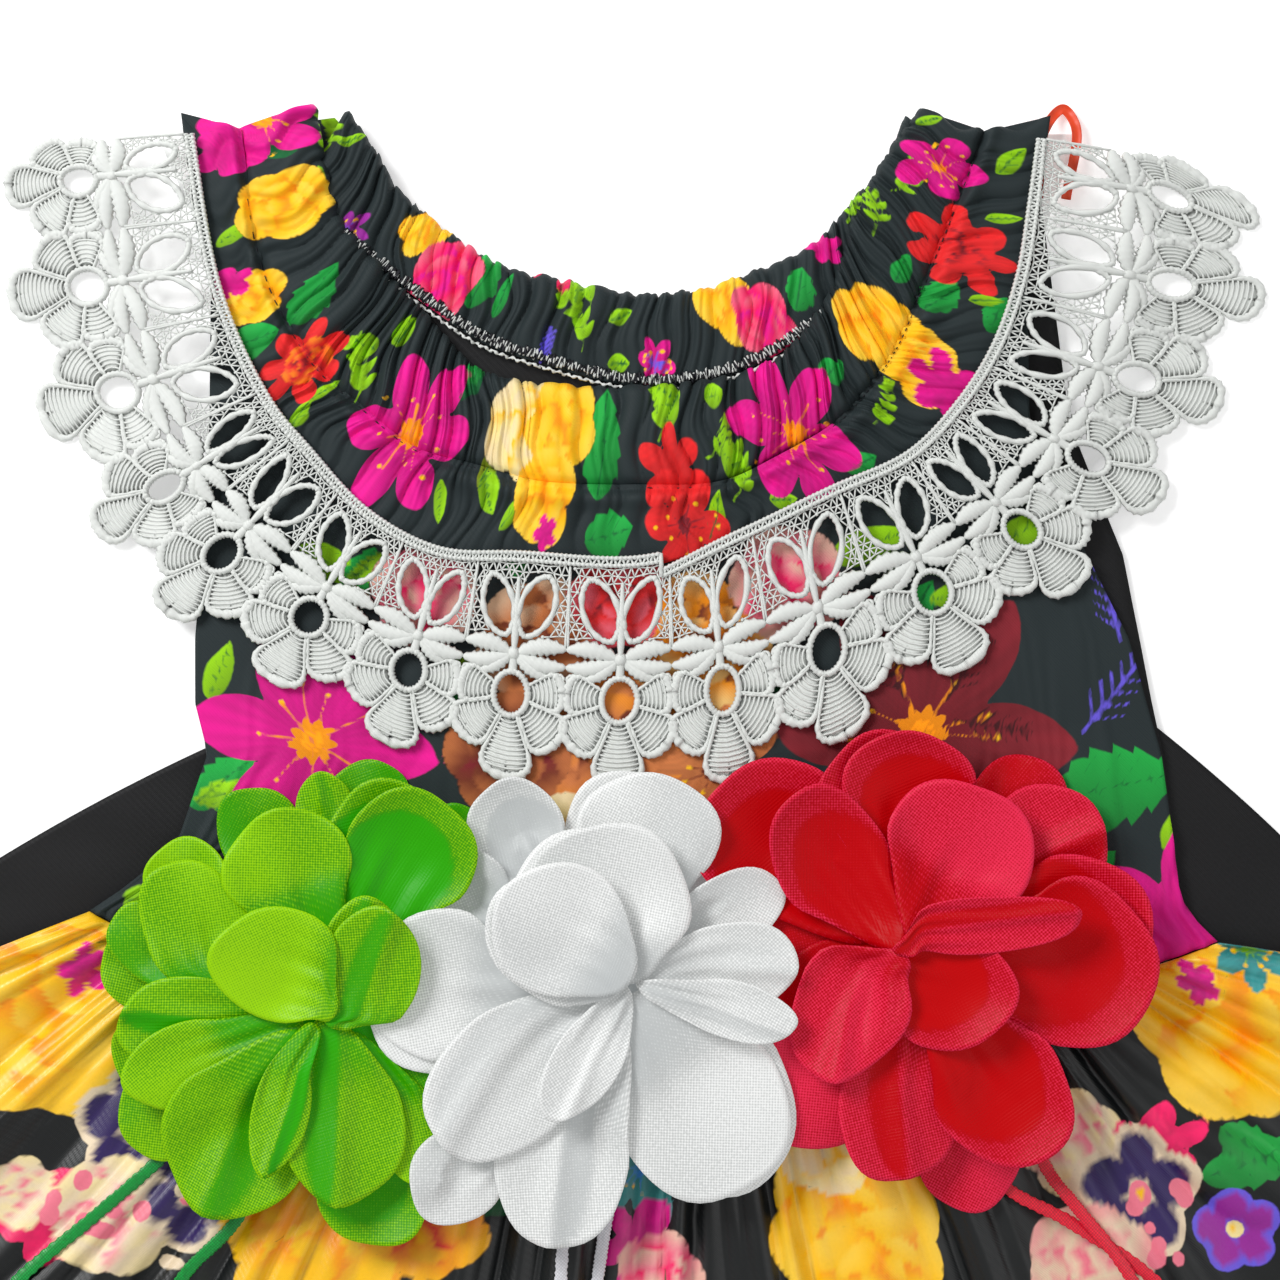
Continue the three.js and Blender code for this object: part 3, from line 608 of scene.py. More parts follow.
def leaf(cloth, x, y, length, turn, colour="green", width=0.22, teeth=0, veins="deep"):
    near, a, b = near_to(cloth, x, y, 1.3 * length, turn)
    share = np.clip(a / length, 0, 1)
    half = width * length * np.sin(np.pi * share**0.8) ** 0.8
    if teeth:
        half = half * (1 - 0.28 * ((share * teeth) % 1))
    away = np.maximum(np.abs(b) - half, np.maximum(-a, a - length)) * 0.8
    tone = 0.8 + 0.5 * share + 0.25 * np.sign(b) * np.minimum(np.abs(b) / (half + 0.1), 1)
    ink(cloth, "leaf", near, away, colour, tone)
    if veins:
        side = np.abs((np.abs(b) * 1.1 - a) % (length / 5) - length / 10)
        vein = np.minimum(np.abs(b), side + 0.12) - 0.2
        vein = np.maximum(vein, away + 0.5)
        ink(cloth, "detail", near, vein, veins)


def stroke(cloth, layer, points, width, colour):
    """A drawn line of ink through a few points."""
    for (ax, ay), (bx, by) in zip(points, points[1:]):
        length = math.hypot(bx - ax, by - ay)
        turn = math.degrees(math.atan2(by - ay, bx - ax))
        near, a, b = near_to(cloth, ax, ay, length + 3, turn)
        away = np.hypot(a - np.clip(a, 0, length), b) - width / 2
        ink(cloth, layer, near, away, colour)


def sprig(cloth, x, y, length, turn, colour="lime", pairs=4, bend=0.3):
    """A curved stem with small leaves in pairs and one at its end."""
    line, heading = [], math.radians(turn)
    for k in range(pairs + 1):
        line.append((x, y))
        x, y = x + length / pairs * math.cos(heading), y + length / pairs * math.sin(heading)
        heading += bend
    stroke(cloth, "leaf", line, 0.7, colour)
    for k, (px, py) in enumerate(line[1:]):
        way = turn + math.degrees(bend) * (k + 1)
        size = length * (0.42 - 0.04 * k)
        for lean in (50, -50):
            leaf(cloth, px, py, size, way + lean, colour, 0.26, veins=None)
    leaf(cloth, line[-1][0], line[-1][1], length * 0.35, way, colour, 0.26, veins=None)


def star_bloom(cloth, x, y, size, turn, colour, petals=6, heart="orange", point=1.1, stamens=9):
    """A flower of pointed petals, with a bright heart and long stamens."""
    near, a, b = near_to(cloth, x, y, 1.35 * size, turn)
    r, way = np.hypot(a, b), np.arctan2(b, a)
    off = np.abs(((way * petals / (2 * np.pi)) % 1) - 0.5) * 2
    reach = size * (0.44 + 0.56 * (1 - off**point) ** 0.75)
    reach = reach * (1 + 0.05 * np.sin(5 * way + x))
    away = (r - reach) * 0.7
    streak = 0.07 * np.sin(way * petals * 6) * np.clip(2 * r / size, 0, 1)
    tone = 0.74 + 0.42 * np.clip(r / size, 0, 1) - 0.28 * off * np.clip(1.6 * r / size, 0, 1) + streak
    cover(cloth, near, away)
    ink(cloth, "bloom", near, away, colour, tone)
    if heart:
        ink(cloth, "detail", near, np.maximum(r - 0.16 * size * (1 + 0.2 * np.sin(9 * way)), away),
            heart, 0.9 + 0.4 * (r < 0.08 * size))
        for k in range(stamens):
            spin = math.radians(turn + 360 / stamens * (k + 0.3 * math.sin(5 * k + x)))
            far = size * (0.42 + 0.08 * math.sin(3 * k + y))
            tip = (x + far * math.cos(spin), y + far * math.sin(spin))
            stroke(cloth, "detail", [(x, y), tip], 0.45, heart)
            stroke(cloth, "detail", [tip, (tip[0] + 0.3, tip[1])], 1.1, "yellow")


def rose(cloth, x, y, size, turn, colour, dark="orange", light="honey", petals=5):
    """A full round flower: three whorls of broad petals, light at the rim and dark at the base."""
    near, a, b = near_to(cloth, x, y, 1.4 * size, turn)
    low, mid, high = (INK[c][:3] for c in (dark, colour, light))
    outline, stain = np.full(len(near), NO_INK), np.zeros((len(near), 3))
    streak = 0.03 * np.sin(26 * np.arctan2(b, a) + 5 * np.hypot(a, b) / size)
    whorls = ((petals, 0.56, 0.47, 0.0), (4, 0.3, 0.36, 0.7), (2, 0.13, 0.22, 0.2))
    for count, far, wide, spin in whorls:
        wide = wide * size
        for k in range(count):
            way = 2 * math.pi * k / count + spin + 0.25 * math.sin(7 * k + x)
            reach = size * (far + 0.05 * math.sin(5 * k + y))
            across, along = a * math.sin(way) - b * math.cos(way), a * math.cos(way) + b * math.sin(way)
            gap = np.hypot(across * 0.86, along - reach) - wide
            inside = gap < 0
            tone = np.clip(0.5 + 0.75 * (along - reach) / wide - 0.25 * np.abs(across) / wide, 0, 1)
            rim = np.exp(-(np.clip(-gap / wide, 0, 1) / 0.07) ** 2) * (count < petals)
            tone = np.clip(tone + streak - 0.24 * rim, 0, 1)[:, None]
            shade = np.where(tone < 0.5, mix(low, mid, tone / 0.5), mix(mid, high, (tone - 0.5) / 0.8))
            stain[inside] = shade[inside]
            outline = np.minimum(outline, gap)
    cover(cloth, near, outline)
    ink(cloth, "bloom", near, outline, stain)


def pansy(cloth, x, y, size, turn, colour="navy", heart="rose", rim="shell"):
    """Five broad round petals of two colours round a pale heart."""
    near, a, b = near_to(cloth, x, y, 1.3 * size, turn)
    away, inner = np.full(len(near), NO_INK), np.full(len(near), NO_INK)
    for k in range(5):
        spin = 2 * math.pi * k / 5
        gap = np.hypot(a - 0.52 * size * math.cos(spin), b - 0.52 * size * math.sin(spin))
        away, inner = np.minimum(away, gap - 0.46 * size), np.minimum(inner, gap - 0.33 * size)
    share = np.clip(-inner / (0.05 * size) + 0.5, 0, 1)[:, None]
    stain = mix(INK[rim][:3], INK[colour][:3], share)
    cover(cloth, near, away)
    ink(cloth, "bloom", near, away, stain)
    r = np.hypot(a, b)
    ink(cloth, "detail", near, r - 0.2 * size, heart)
    ink(cloth, "detail", near, r - 0.08 * size, "yellow")


def dots(cloth, x, y, size, colour="rose", count=5, spread=8.0, seed=1):
    rng = np.random.default_rng(seed)
    for k in range(count):
        px, py = x + rng.uniform(-spread, spread), y + rng.uniform(-spread, spread)
        near, a, b = near_to(cloth, px, py, 3 * size, 0)
        away = np.hypot(a, b) - size * rng.uniform(0.6, 1.0)
        ink(cloth, "detail", near, away, colour)


def feather(cloth, x, y, length, turn, colour="violet"):
    """A fine twig drawn in line: a stem with slanting hairs."""
    way = math.radians(turn)
    tip = (x + length * math.cos(way), y + length * math.sin(way))
    stroke(cloth, "detail", [(x, y), tip], 0.8, colour)
    for k in range(1, 6):
        px, py = mix(x, tip[0], k / 6), mix(y, tip[1], k / 6)
        for lean in (0.75, -0.75):
            far = length * (0.36 - 0.035 * k)
            stroke(cloth, "detail", [(px, py), (px + far * math.cos(way + lean),
                                                py + far * math.sin(way + lean))], 0.65, colour)


def print_on(piece, cloth, skip=1):
    """Stores the layers of ink on a piece; its underside takes the same ink as its top."""
    for layer in LAYERS:
        edge, stain = cloth[layer]
        low_edge = edge.reshape(cloth["shape"])[::skip, ::skip].ravel()
        low_stain = stain.reshape(*cloth["shape"], -1)[::skip, ::skip].reshape(len(low_edge), -1)
        mark(piece, layer + "_edge", np.concatenate([edge, low_edge]))
        mark(piece, layer + "_ink", np.vstack([stain, low_stain]))


# %% [markdown]
# The flowers are placed one by one, from one table for each cloth: what it is, where its middle or
# its stem is, its size, its turn and its colours. The middle of the chest and one place on the
# skirt hold plain garden flowers in tan, brown and cream.

# %% Flowers of the chest
CHEST = [
    (leaf, (-104, 105), 15, 70, "lime"), (leaf, (-108, 79), 20, 40, "green", 0.3, 5),
    (leaf, (-107, 81), 15, 10, "lime"), (leaf, (-74, 74), 14, -60, "green"),
    (star_bloom, (-79, 95), 31, 20, "magenta", 6, "orange"), (leaf, (-82, 142), 18, -30, "lime"),
    (leaf, (-71, 129), 15, 60, "green", 0.3, 5), (leaf, (-58, 139), 14, 200, "lime"),
    (rose, (-52, 131), 13, 20, "rose", "pink", "shell"), (leaf, (-44, 115), 18, -80, "green", 0.25),
    (leaf, (-38, 105), 13, 120, "lime"), (rose, (-23, 119), 16, 0, "tan", "brown", "shell"),
    (rose, (-7, 94), 20, 40, "tan", "brown", "orange", 6),
    (rose, (14, 119), 17, 80, "orange", "brown", "cream"),
    (rose, (-32, 91), 15, 10, "brown", "wine", "tan"), (rose, (-5, 129), 12, 30, "red", "wine", "rose"),
    (star_bloom, (18, 88), 17, 10, "tan", 8, "brown", 1.4),
    (rose, (-19, 69), 14, 0, "cream", "tan", "shell"), (leaf, (-29, 134), 14, 100, "green"),
    (leaf, (24, 131), 16, 60, "lime"), (rose, (35, 133), 14, 50, "rose", "pink", "shell"),
    (leaf, (46, 139), 20, 20, "lime"), (leaf, (62, 119), 17, 60, "green", 0.3, 5),
    (leaf, (70, 129), 14, 10, "lime"), (leaf, (86, 142), 16, 30, "lime"),
    (star_bloom, (68, 97), 37, 25, "wine", 6, "orange", 1.2), (leaf, (43, 105), 16, 170, "deep"),
    (feather, (116, 119), 20, 104), (feather, (107, 97), 23, 52), (feather, (76, 100), 19, 352, "dusk"),
    (feather, (74, 105), 19, 57, "dusk"), (feather, (64, 105), 18, 120, "dusk"),
    (feather, (72, 89), 18, 295, "dusk"), (leaf, (100, 81), 32, 12, "green", 0.34, 6),
    (leaf, (103, 74), 24, -62, "green", 0.34, 5), (leaf, (126, 69), 13, 60, "lime"),
    (star_bloom, (132, 49), 26, 60, "magenta", 6, None, 1.5), (leaf, (-125, 56), 12, 20, "lime"),
    (leaf, (53, 62), 22, 30, "green"), (rose, (-58, 57), 20, 0, "yellow"),
    (rose, (34, 50), 18, 0, "pink", "wine", "rose"),
]

# %% Flowers of the neck and the ruffle
YOKE = [
    (leaf, (-82, 237), 12, 170, "deep"), (sprig, (-76, 235), 12, 60), (leaf, (-78, 227), 9, 90, "lime"),
    (star_bloom, (-91, 244), 16, 0, "magenta", 5, "orange", 2),
    (star_bloom, (-99, 237), 10, 30, "magenta", 5, None, 2), (leaf, (-102, 214), 12, 40, "lime"),
    (rose, (-85, 224), 13, 10, "yellow"), (leaf, (-84, 195), 20, 60, "green", 0.32, 5),
    (rose, (-93, 202), 9, 30, "yellow"), (star_bloom, (-99, 205), 7, 0, "magenta", 5, None, 2),
    (leaf, (-100, 189), 15, 10, "green", 0.45), (leaf, (-84, 170), 10, 60, "lime"),
    (star_bloom, (-81, 186), 13, 0, "red", 7, None, 2),
    (rose, (-80, 186), 7, 0, "red", "wine", "orange"), (sprig, (-69, 177), 14, 60),
    (leaf, (-80, 177), 10, 20, "lime"), (leaf, (-48, 158), 12, -80, "lime"),
    (star_bloom, (-55, 169), 22, 15, "magenta", 6, "orange", 1.5), (leaf, (-44, 177), 10, 30, "deep"),
    (leaf, (-39, 155), 13, 60, "olive"), (leaf, (-34, 146), 12, 40, "lime"),
    (rose, (-28, 171), 14, 0, "cream", "yellow", "shell"),
    (rose, (-19, 171), 13, 40, "yellow", "orange", "honey"), (rose, (-23, 153), 12, 20, "yellow"),
    (star_bloom, (-23, 145), 5, 0, "magenta", 5, None, 2), (leaf, (-10, 153), 27, 85, "green", 0.26, 5),
    (leaf, (-13, 143), 18, 10, "green", 0.36, 4), (star_bloom, (8, 160), 12, 10, "red", 6, None, 2),
    (star_bloom, (11, 147), 15, 30, "red", 6, "wine", 1.8), (sprig, (4, 167), 13, 60),
    (sprig, (16, 163), 10, 30), (leaf, (17, 143), 14, 70, "lime"), (sprig, (23, 153), 12, 60),
    (star_bloom, (37, 169), 22, 25, "magenta", 6, "orange", 1.5), (leaf, (31, 153), 11, 10, "lime"),
    (leaf, (50, 160), 13, 30, "green"), (sprig, (56, 171), 10, 40), (rose, (57, 195), 13, 0, "yellow"),
    (rose, (67, 186), 13, 50, "yellow", "orange", "honey"), (leaf, (68, 199), 16, 40, "green", 0.32, 4),
    (leaf, (61, 205), 12, 60, "green"), (leaf, (84, 194), 14, 60, "green", 0.3, 4),
    (star_bloom, (74, 180), 12, 0, "magenta", 6, None, 1.6), (leaf, (79, 201), 10, 10, "lime"),
    (star_bloom, (77, 213), 15, 10, "red", 7, None, 2), (rose, (77, 214), 9, 0, "red", "wine", "red"),
    (sprig, (56, 217), 12, 70), (sprig, (60, 227), 10, 20),
    (star_bloom, (72, 233), 12, 20, "magenta", 5, "orange", 2), (leaf, (86, 232), 12, 50, "lime"),
    (leaf, (83, 221), 10, 10, "lime"), (leaf, (66, 243), 8, 30, "lime"),
    (leaf, (-59, 190), 9, 60, "lime", 0.3), (leaf, (-63, 189), 10, 150, "lime", 0.3),
    (leaf, (-41, 181), 8, 60, "green", 0.4), (leaf, (5, 171), 11, 50, "lime", 0.34),
    (leaf, (9, 175), 10, 140, "lime", 0.34), (leaf, (19, 165), 11, -30, "lime", 0.36),
    (leaf, (-37, 160), 12, -70, "lime", 0.3), (leaf, (15, 177), 9, 20, "lime", 0.34),
    (leaf, (44, 182), 9, 40, "green", 0.4),
]

# %% Flowers inside the back of the neck
NAPE = [
    (star_bloom, (-71, 218), 7, 0, "plum", 6, "violet", 1.4), (sprig, (-76, 237), 10, 60),
    (leaf, (-73, 239), 8, 20, "lime"), (rose, (-51, 218), 8, 0, "yellow"),
    (leaf, (-41, 199), 18, 70, "green", 0.35, 4), (rose, (-47, 206), 12, 0, "pink", "magenta", "rose"),
    (leaf, (-36, 197), 12, 60, "green"), (feather, (-24, 185), 10, 70), (sprig, (-14, 189), 13, 80),
    (star_bloom, (4, 186), 7, 20, "magenta", 6, "violet", 1.4), (rose, (21, 201), 11, 0, "yellow"),
    (rose, (30, 196), 11, 0, "pink", "magenta", "rose"), (leaf, (38, 199), 14, 70, "green", 0.35, 4),
    (star_bloom, (44, 214), 6, 0, "magenta", 5, None, 1.5), (leaf, (-7, 196), 8, 20, "lime"),
    (sprig, (50, 220), 10, 60), (leaf, (-16, 200), 9, 80, "lime", 0.3),
    (leaf, (-12, 201), 8, 110, "lime", 0.3), (leaf, (-8, 186), 8, 0, "lime", 0.3),
    (leaf, (-52, 225), 9, 100, "green", 0.4), (leaf, (-19, 203), 5, 60, "pink", 0.5),
    (leaf, (-26, 207), 5, 60, "pink", 0.5),
]

# %% Flowers of the skirt
SKIRT = [
    (rose, (-143, 31), 26, 20, "yellow", "orange", "honey"), (rose, (-131, 43), 14, 20, "yellow"),
    (leaf, (-132, 45), 12, 60, "lime"), (star_bloom, (-133, 40), 7, 0, "magenta", 5, None, 1.6),
    (pansy, (-121, 2), 17, 20, "navy", "rose"), (star_bloom, (-144, -19), 13, 20, "pink", 5, None, 2),
    (rose, (-127, -19), 15, 0, "shell", "rose", "cream"), (pansy, (-108, -14), 15, 50, "navy", "rose"),
    (rose, (-150, -14), 9, 0, "shell", "rose", "cream"), (dots, (-132, -13), 3.0, "rose", 7, 12, 3),
    (dots, (-109, -22), 2.4, "shell", 6, 10, 5),
    (rose, (-74, -27), 26, 10, "yellow", "orange", "yellow"),
    (rose, (-50, -21), 14, 40, "orange", "red", "yellow"),
    (rose, (-89, -13), 12, 40, "orange", "orange", "yellow"), (leaf, (-38, -19), 14, 30, "deep"),
    (star_bloom, (1, -8), 14, 10, "teal", 6, "sky", 1.6),
    (star_bloom, (0, -27), 12, 40, "magenta", 6, None, 1.6),
    (rose, (6, -34), 11, 0, "rose", "pink", "shell"),
    (rose, (50, -19), 22, 60, "yellow", "orange", "honey"),
    (rose, (46, -3), 12, 0, "cream", "yellow", "shell"), (rose, (58, -34), 16, 10, "yellow"),
    (rose, (106, -2), 13, 30, "shell", "rose", "cream"),
    (star_bloom, (125, -3), 11, 0, "pink", 6, None, 1.8), (pansy, (120, -14), 17, 15, "navy", "rose"),
    (rose, (108, -31), 15, 0, "shell", "rose", "rose"), (dots, (130, -25), 2.6, "rose", 8, 12, 7),
    (pansy, (145, -23), 11, 30, "plum", "cream", "violet"), (leaf, (136, -10), 24, 20, "green", 0.3, 5),
    (leaf, (138, 2), 18, -30, "green", 0.3, 5), (rose, (144, 28), 26, 10, "yellow", "orange", "honey"),
    (rose, (133, 41), 11, 10, "yellow"), (star_bloom, (149, 45), 10, 0, "teal", 6, "lime", 1.6),
    (star_bloom, (134, 37), 6, 0, "magenta", 5, None, 1.8),
    (leaf, (122, 31), 10, -60, "magenta", 0.25, 0, None),
]


def print_flowers(cloth, table):
    for kind, (x, y), *rest in table:
        kind(cloth, x, y, *rest)


def scatter_flowers(cloth, seed, low, high, keep_off):
    """Fills the cloth beyond the listed flowers with more of the same ones, evenly mixed."""
    rng = np.random.default_rng(seed)
    for x in np.arange(low[0], high[0], 46.0):
        for y in np.arange(low[1], high[1], 46.0):
            px, py, turn = x + rng.uniform(-9, 9), y + rng.uniform(-9, 9), rng.uniform(0, 360)
            pick = int(rng.integers(0, 5))
            if keep_off(px, py):
                continue
            for lean in (0, 130, 240):
                leaf(cloth, px, py, 27, turn + lean, ("green", "lime", "deep")[pick % 3], 0.25, 5)
            if pick == 0:
                rose(cloth, px, py, 18, turn, "yellow", "orange", "honey")
            elif pick == 1:
                star_bloom(cloth, px, py, 20, turn, "magenta")
            elif pick == 2:
                pansy(cloth, px, py, 15, turn)
                dots(cloth, px, py, 2.4, "rose", 6, 20, pick)
            elif pick == 3:
                rose(cloth, px, py, 15, turn, "pink", "wine", "rose")
            else:
                star_bloom(cloth, px, py, 15, turn, "teal", 6, "sky", 1.6)


# %% [markdown]
# ## Gathers
# Elastic in the casing pulls the cloth into dozens of small ridges. No two are alike, so their
# widths and heights are drawn from a seeded list, and the ridges wander a little on their way.

# %% Ridges
def ridges(u, v, count, seed, wander=0.25, sharp=0.75):
    """Uneven ridges side by side along u: a height of 0 to 1, and how far across a ridge we are."""
    rng = np.random.default_rng(seed)
    edges = np.cumsum(rng.uniform(0.55, 1.5, count + 1))
    edges = (edges - edges[0]) / (edges[-1] - edges[0])
    tall = rng.uniform(0.45, 1.0, count + 2)
    sway = wander / count * (np.sin(2.1 * v * np.pi + 23 * u) + 0.6 * np.sin(5.3 * v + 61 * u))
    phase = np.interp(u + sway, edges, np.arange(count + 1))
    height = np.abs(np.sin(np.pi * phase)) ** sharp
    return height * np.interp(phase, np.arange(count + 2) - 0.5, tall), np.cos(np.pi * phase)


# %% [markdown]
# ## Plans of the garment
# The same tables as the pattern of the CAD model: round the front of the neck, round its back,
# down the sides of the bodice, and the sash ties.

# %% Plans
NECK_FRONT = [
    # edge x, y, stitch x, y, heading x, y, tip x, y
    [-79, 249, -97, 243, -108, 246, -154, 245], [-73, 222, -91, 209, -100, 203, -152, 196],
    [-62, 208, -79, 186, -88, 177, -136, 153], [-55, 201, -67, 175, -79, 166, -118, 129],
    [-48, 193, -54, 165, -65, 151, -91, 111], [-40, 185, -40, 161, -48, 142, -62, 95],
    [-27, 181, -25, 157, -29, 141, -33, 86], [0, 180, 0, 156, 1, 140, 0, 84],
    [20, 182, 20, 157, 23, 147, 31, 87], [33, 187, 35, 164, 46, 157, 62, 103],
    [41, 195, 48, 172, 64, 165, 94, 123], [46, 203, 56, 181, 75, 176, 120, 146],
    [49, 213, 62, 190, 84, 190, 138, 171], [53, 224, 68, 204, 90, 207, 149, 195],
    [60, 236, 75, 221, 93, 225, 153, 216], [68, 247, 83, 242, 96, 245, 134, 240],
]
NECK_BACK = [
    # fold x, y, overlocked edge x, y
    [-71, 247, -77, 237], [-64, 237, -74, 219], [-58, 227, -62, 208], [-46, 217, -50, 199],
    [-34, 209, -38, 191], [-19, 205, -24, 186], [0, 202, -4, 181], [14, 203, 12, 181],
    [29, 208, 29, 186], [43, 215, 46, 198], [50, 223, 57, 209], [58, 232, 67, 222], [64, 245, 73, 240],
]
RUFFLE_BACK = [
    # fold x, y, heading x, y, tip x, y
    [-74, 246, -97, 243, -118, 244], [-64, 235, -91, 215, -104, 210], [-53, 221, -77, 194, -94, 172],
    [-38, 212, -58, 177, -74, 139], [-19, 205, -31, 167, -41, 119], [0, 202, 0, 163, 0, 112],
    [24, 206, 26, 168, 36, 119], [43, 215, 50, 184, 70, 139], [54, 227, 64, 201, 86, 170],
    [61, 237, 74, 223, 95, 208], [68, 246, 83, 242, 106, 242],
]
BODICE_SIDES = [
    # y, front left x, front right x, back left x, back right x
    [240, -103, 93, -101, 95], [172, -104, 94, -104, 104], [140, -106, 108, -106, 117],
    [120, -107.5, 118, -107.5, 121], [104, -107.5, 122.5, -107.5, 124],
    [92, -104.5, 126, -104.5, 126.5], [70, -112, 129, -112, 129.5], [60, -124, 130, -124, 130.5],
    [54, -133, 132, -133, 132], [46, -134, 140, -134, 140],
]
BODICE_TOP = [[-104, 238], [-94, 218], [-82, 190], [-58, 167], [-26, 156], [20, 156], [48, 170],
              [62, 188], [74, 216], [94, 238]]
GAP = 0.35


def waist_y(t):
    return mix(21, np.where(t < 0.5, 54, 46.5), np.abs(2 * t - 1) ** 2)


def bodice_plan(left, right, top_y):
    def plan(t, s):
        y = mix(top_y(t), waist_y(t) + GAP / 2, s)
        x = mix(column_of(BODICE_SIDES, y, left), column_of(BODICE_SIDES, y, right), t)
        return np.stack([x, y], -1)
    return plan


def back_top(t):
    x = mix(-101, 95, t)
    return np.where((x < -71) | (x > 64), 240, column_of(NECK_BACK, x, 1) - 1)


front_bodice = bodice_plan(1, 2, lambda t: column_of(BODICE_TOP, mix(-104, 94, t), 1))
back_bodice = bodice_plan(3, 4, back_top)


def skirt_plan(left, right):
    def plan(t, s):
        top_y = waist_y(t) - GAP / 2
        top_x = mix(column_of(BODICE_SIDES, top_y, left), column_of(BODICE_SIDES, top_y, right), t)
        hem_x = mix(-381, 381, t)
        hem_y = -249 + 488 - np.sqrt(488**2 - hem_x**2)
        arch = np.where(t < 0.5, 8, 26) * np.abs(2 * t - 1) ** 3 * np.sin(np.pi * s) * (1 - s)
        return np.stack([mix(top_x, hem_x, s), mix(top_y, hem_y, s) + arch], -1)
    return plan


def skirt_fold(t, s):
    phase = 2 * np.pi * (13 * t + 0.28 * np.sin(9.1 * t + 0.6))
    return mix(2.2, 9, s**0.8) * (0.5 - 0.5 * np.cos(phase))


def lay(plan, heights, even=None):
    """Points of a sheet: its plan under a grid of heights. even spreads the rows unevenly."""
    rows, columns = heights.shape
    u, v = np.meshgrid(np.linspace(0, 1, columns), np.linspace(0, 1, rows))
    v = v if even is None else even(v)
    return np.dstack([plan(u, v), heights]), u, v


def heights_over(node, plan, rows, columns, coarse=(24, 60), soft=(1.2, 1.2)):
    """The CAD node's height over a fine grid, without its facets."""
    field = top_of(node, plan, coarse[1], coarse[0])
    field = resample(field, np.linspace(0, 1, rows + 1), np.linspace(0, 1, columns + 1))
    step = (columns / coarse[1], rows / coarse[0])
    return blur(field, soft[0] * step[0], soft[1] * step[1])


# %% [markdown]
# ## Black cloth underneath
# The sash ties and the plain back of the dress are black. They lie flat on the table, with only
# the soft wrinkles of cloth that was spread by hand.

# %% Black cloth
TIES = {
    "left": ([[-130, 67], [-151, 45], [-183, 15], [-218, -17], [-252, -56], [-276, -100]],
             [[-94, 98], [-124, 46]]),
    "right": ([[129, 77], [145, 54], [171, 22], [206, -14], [246, -60], [268, -120]],
              [[122, 42], [112, 108]]),
}


def tie_plan(route, seam):
    free = strip(curve_of(route, 0), 38)
    first, last = np.array(seam)

    def plan(u, v):
        sewn = first + (last - first) * np.asarray(v)[..., None]
        loose = np.minimum(1, u * 7)
        return sewn + (free(u, v) - sewn) * (loose * loose * (2.2 - 1.2 * loose))[..., None]
    return plan


def wrinkles(x, y, size, seed):
    """Low uneven waves, as on cloth smoothed down by hand."""
    rng = np.random.default_rng(seed)
    total = 0 * x
    for k in range(7):
        way, length = rng.uniform(0, np.pi), size * rng.uniform(0.5, 1.8)
        total = total + np.sin((x * np.cos(way) + y * np.sin(way)) * 2 * np.pi / length
                               + rng.uniform(0, 6) + 0.8 * np.sin(y / size + k)) * length / size
    return total / 7


def flat_piece(name, node, plan, rows, columns, material, slot, wave=0.0, seed=1, thick=0.7):
    points = lay(plan, heights_over(node, plan, rows, columns))[0]
    points[..., 2] += wave * (1 + wrinkles(points[..., 0], points[..., 1], 22, seed)) - 0.2
    piece = add_piece(name, *shell(points, thick), material, slot, [node])
    return piece, points


for side, (route, seam) in TIES.items():
    tie, points = flat_piece("tie_" + side, "sash_tie_" + side, tie_plan(route, seam), 26, 150,
                             black_cloth, "black_cloth", 0.5, 4 + len(side))
    print("tie", side, "m2:", round(area_of(points), 4))
back_head, back_tip = curve_of(RUFFLE_BACK, 2), curve_of(RUFFLE_BACK, 4)
under_lace, points = flat_piece("under_lace", "lace_back", band(back_head, back_tip), 8, 90,
                                back_lace, "lace")
print("under lace", area_of(points))
under_ruffle, points = flat_piece("under_ruffle", "ruffle_back",
                                  band(curve_of(RUFFLE_BACK, 0), back_head, 0, -3), 8, 120,
                                  printed_knit, "printed_knit")
cloth = blank(points[..., 0], points[..., 1])
print_flowers(cloth, YOKE)
print_on(under_ruffle, cloth)
print("under ruffle", area_of(points))
back_body, points = flat_piece("back_body", "back_bodice", back_bodice, 60, 70, black_cloth,
                               "black_cloth", 0.3, 8)
print("back body", area_of(points))
back_fan, points = flat_piece("back_fan", "back_skirt", skirt_plan(3, 4), 50, 120, black_cloth,
                              "black_cloth", 0.0, 9)
print("back skirt", area_of(points))

# %% [markdown]
# ## Chest
# The front of the bodice is a smooth printed knit over the back. It lifts in shallow waves where
# the ruffle and the waist pull on it.

# %% Chest
ROWS, COLUMNS, SKIP = 200, 270, 5
points, u, v = lay(front_bodice, heights_over("front_bodice", front_bodice, ROWS, COLUMNS))
pull, lean = ridges(u, v, 17, 21, 1.5, 1.2)
points[..., 2] += 1.1 * wrinkles(points[..., 0], points[..., 1], 45, 3) - 0.2
points[..., 2] += 2.2 * pull * v**3
chest_top = points
cloth = blank(points[..., 0] + 0.6 * lean * v**3, points[..., 1])
print_flowers(cloth, CHEST)
chest = add_piece("chest", *shell(points, 0.7, SKIP), printed_knit, "printed_knit", ["front_bodice"])
print_on(chest, cloth, SKIP)
print("chest", area_of(points))

# %% [markdown]
# ## Skirt
# A full skirt in printed satin, gathered at the waist and spread out like a fan. Broad folds run
# from the waist to the hem. Near the waist they break up into small gathers. Under each ribbon
# tail the skirt is pressed down, so that the ribbon lies on the folds and not in them.

# %% Skirt
ROWS, COLUMNS = 150, 400
front_fan = skirt_plan(1, 2)


def denser_at_waist(v):
    return 0.42 * v + 0.58 * v**2.4


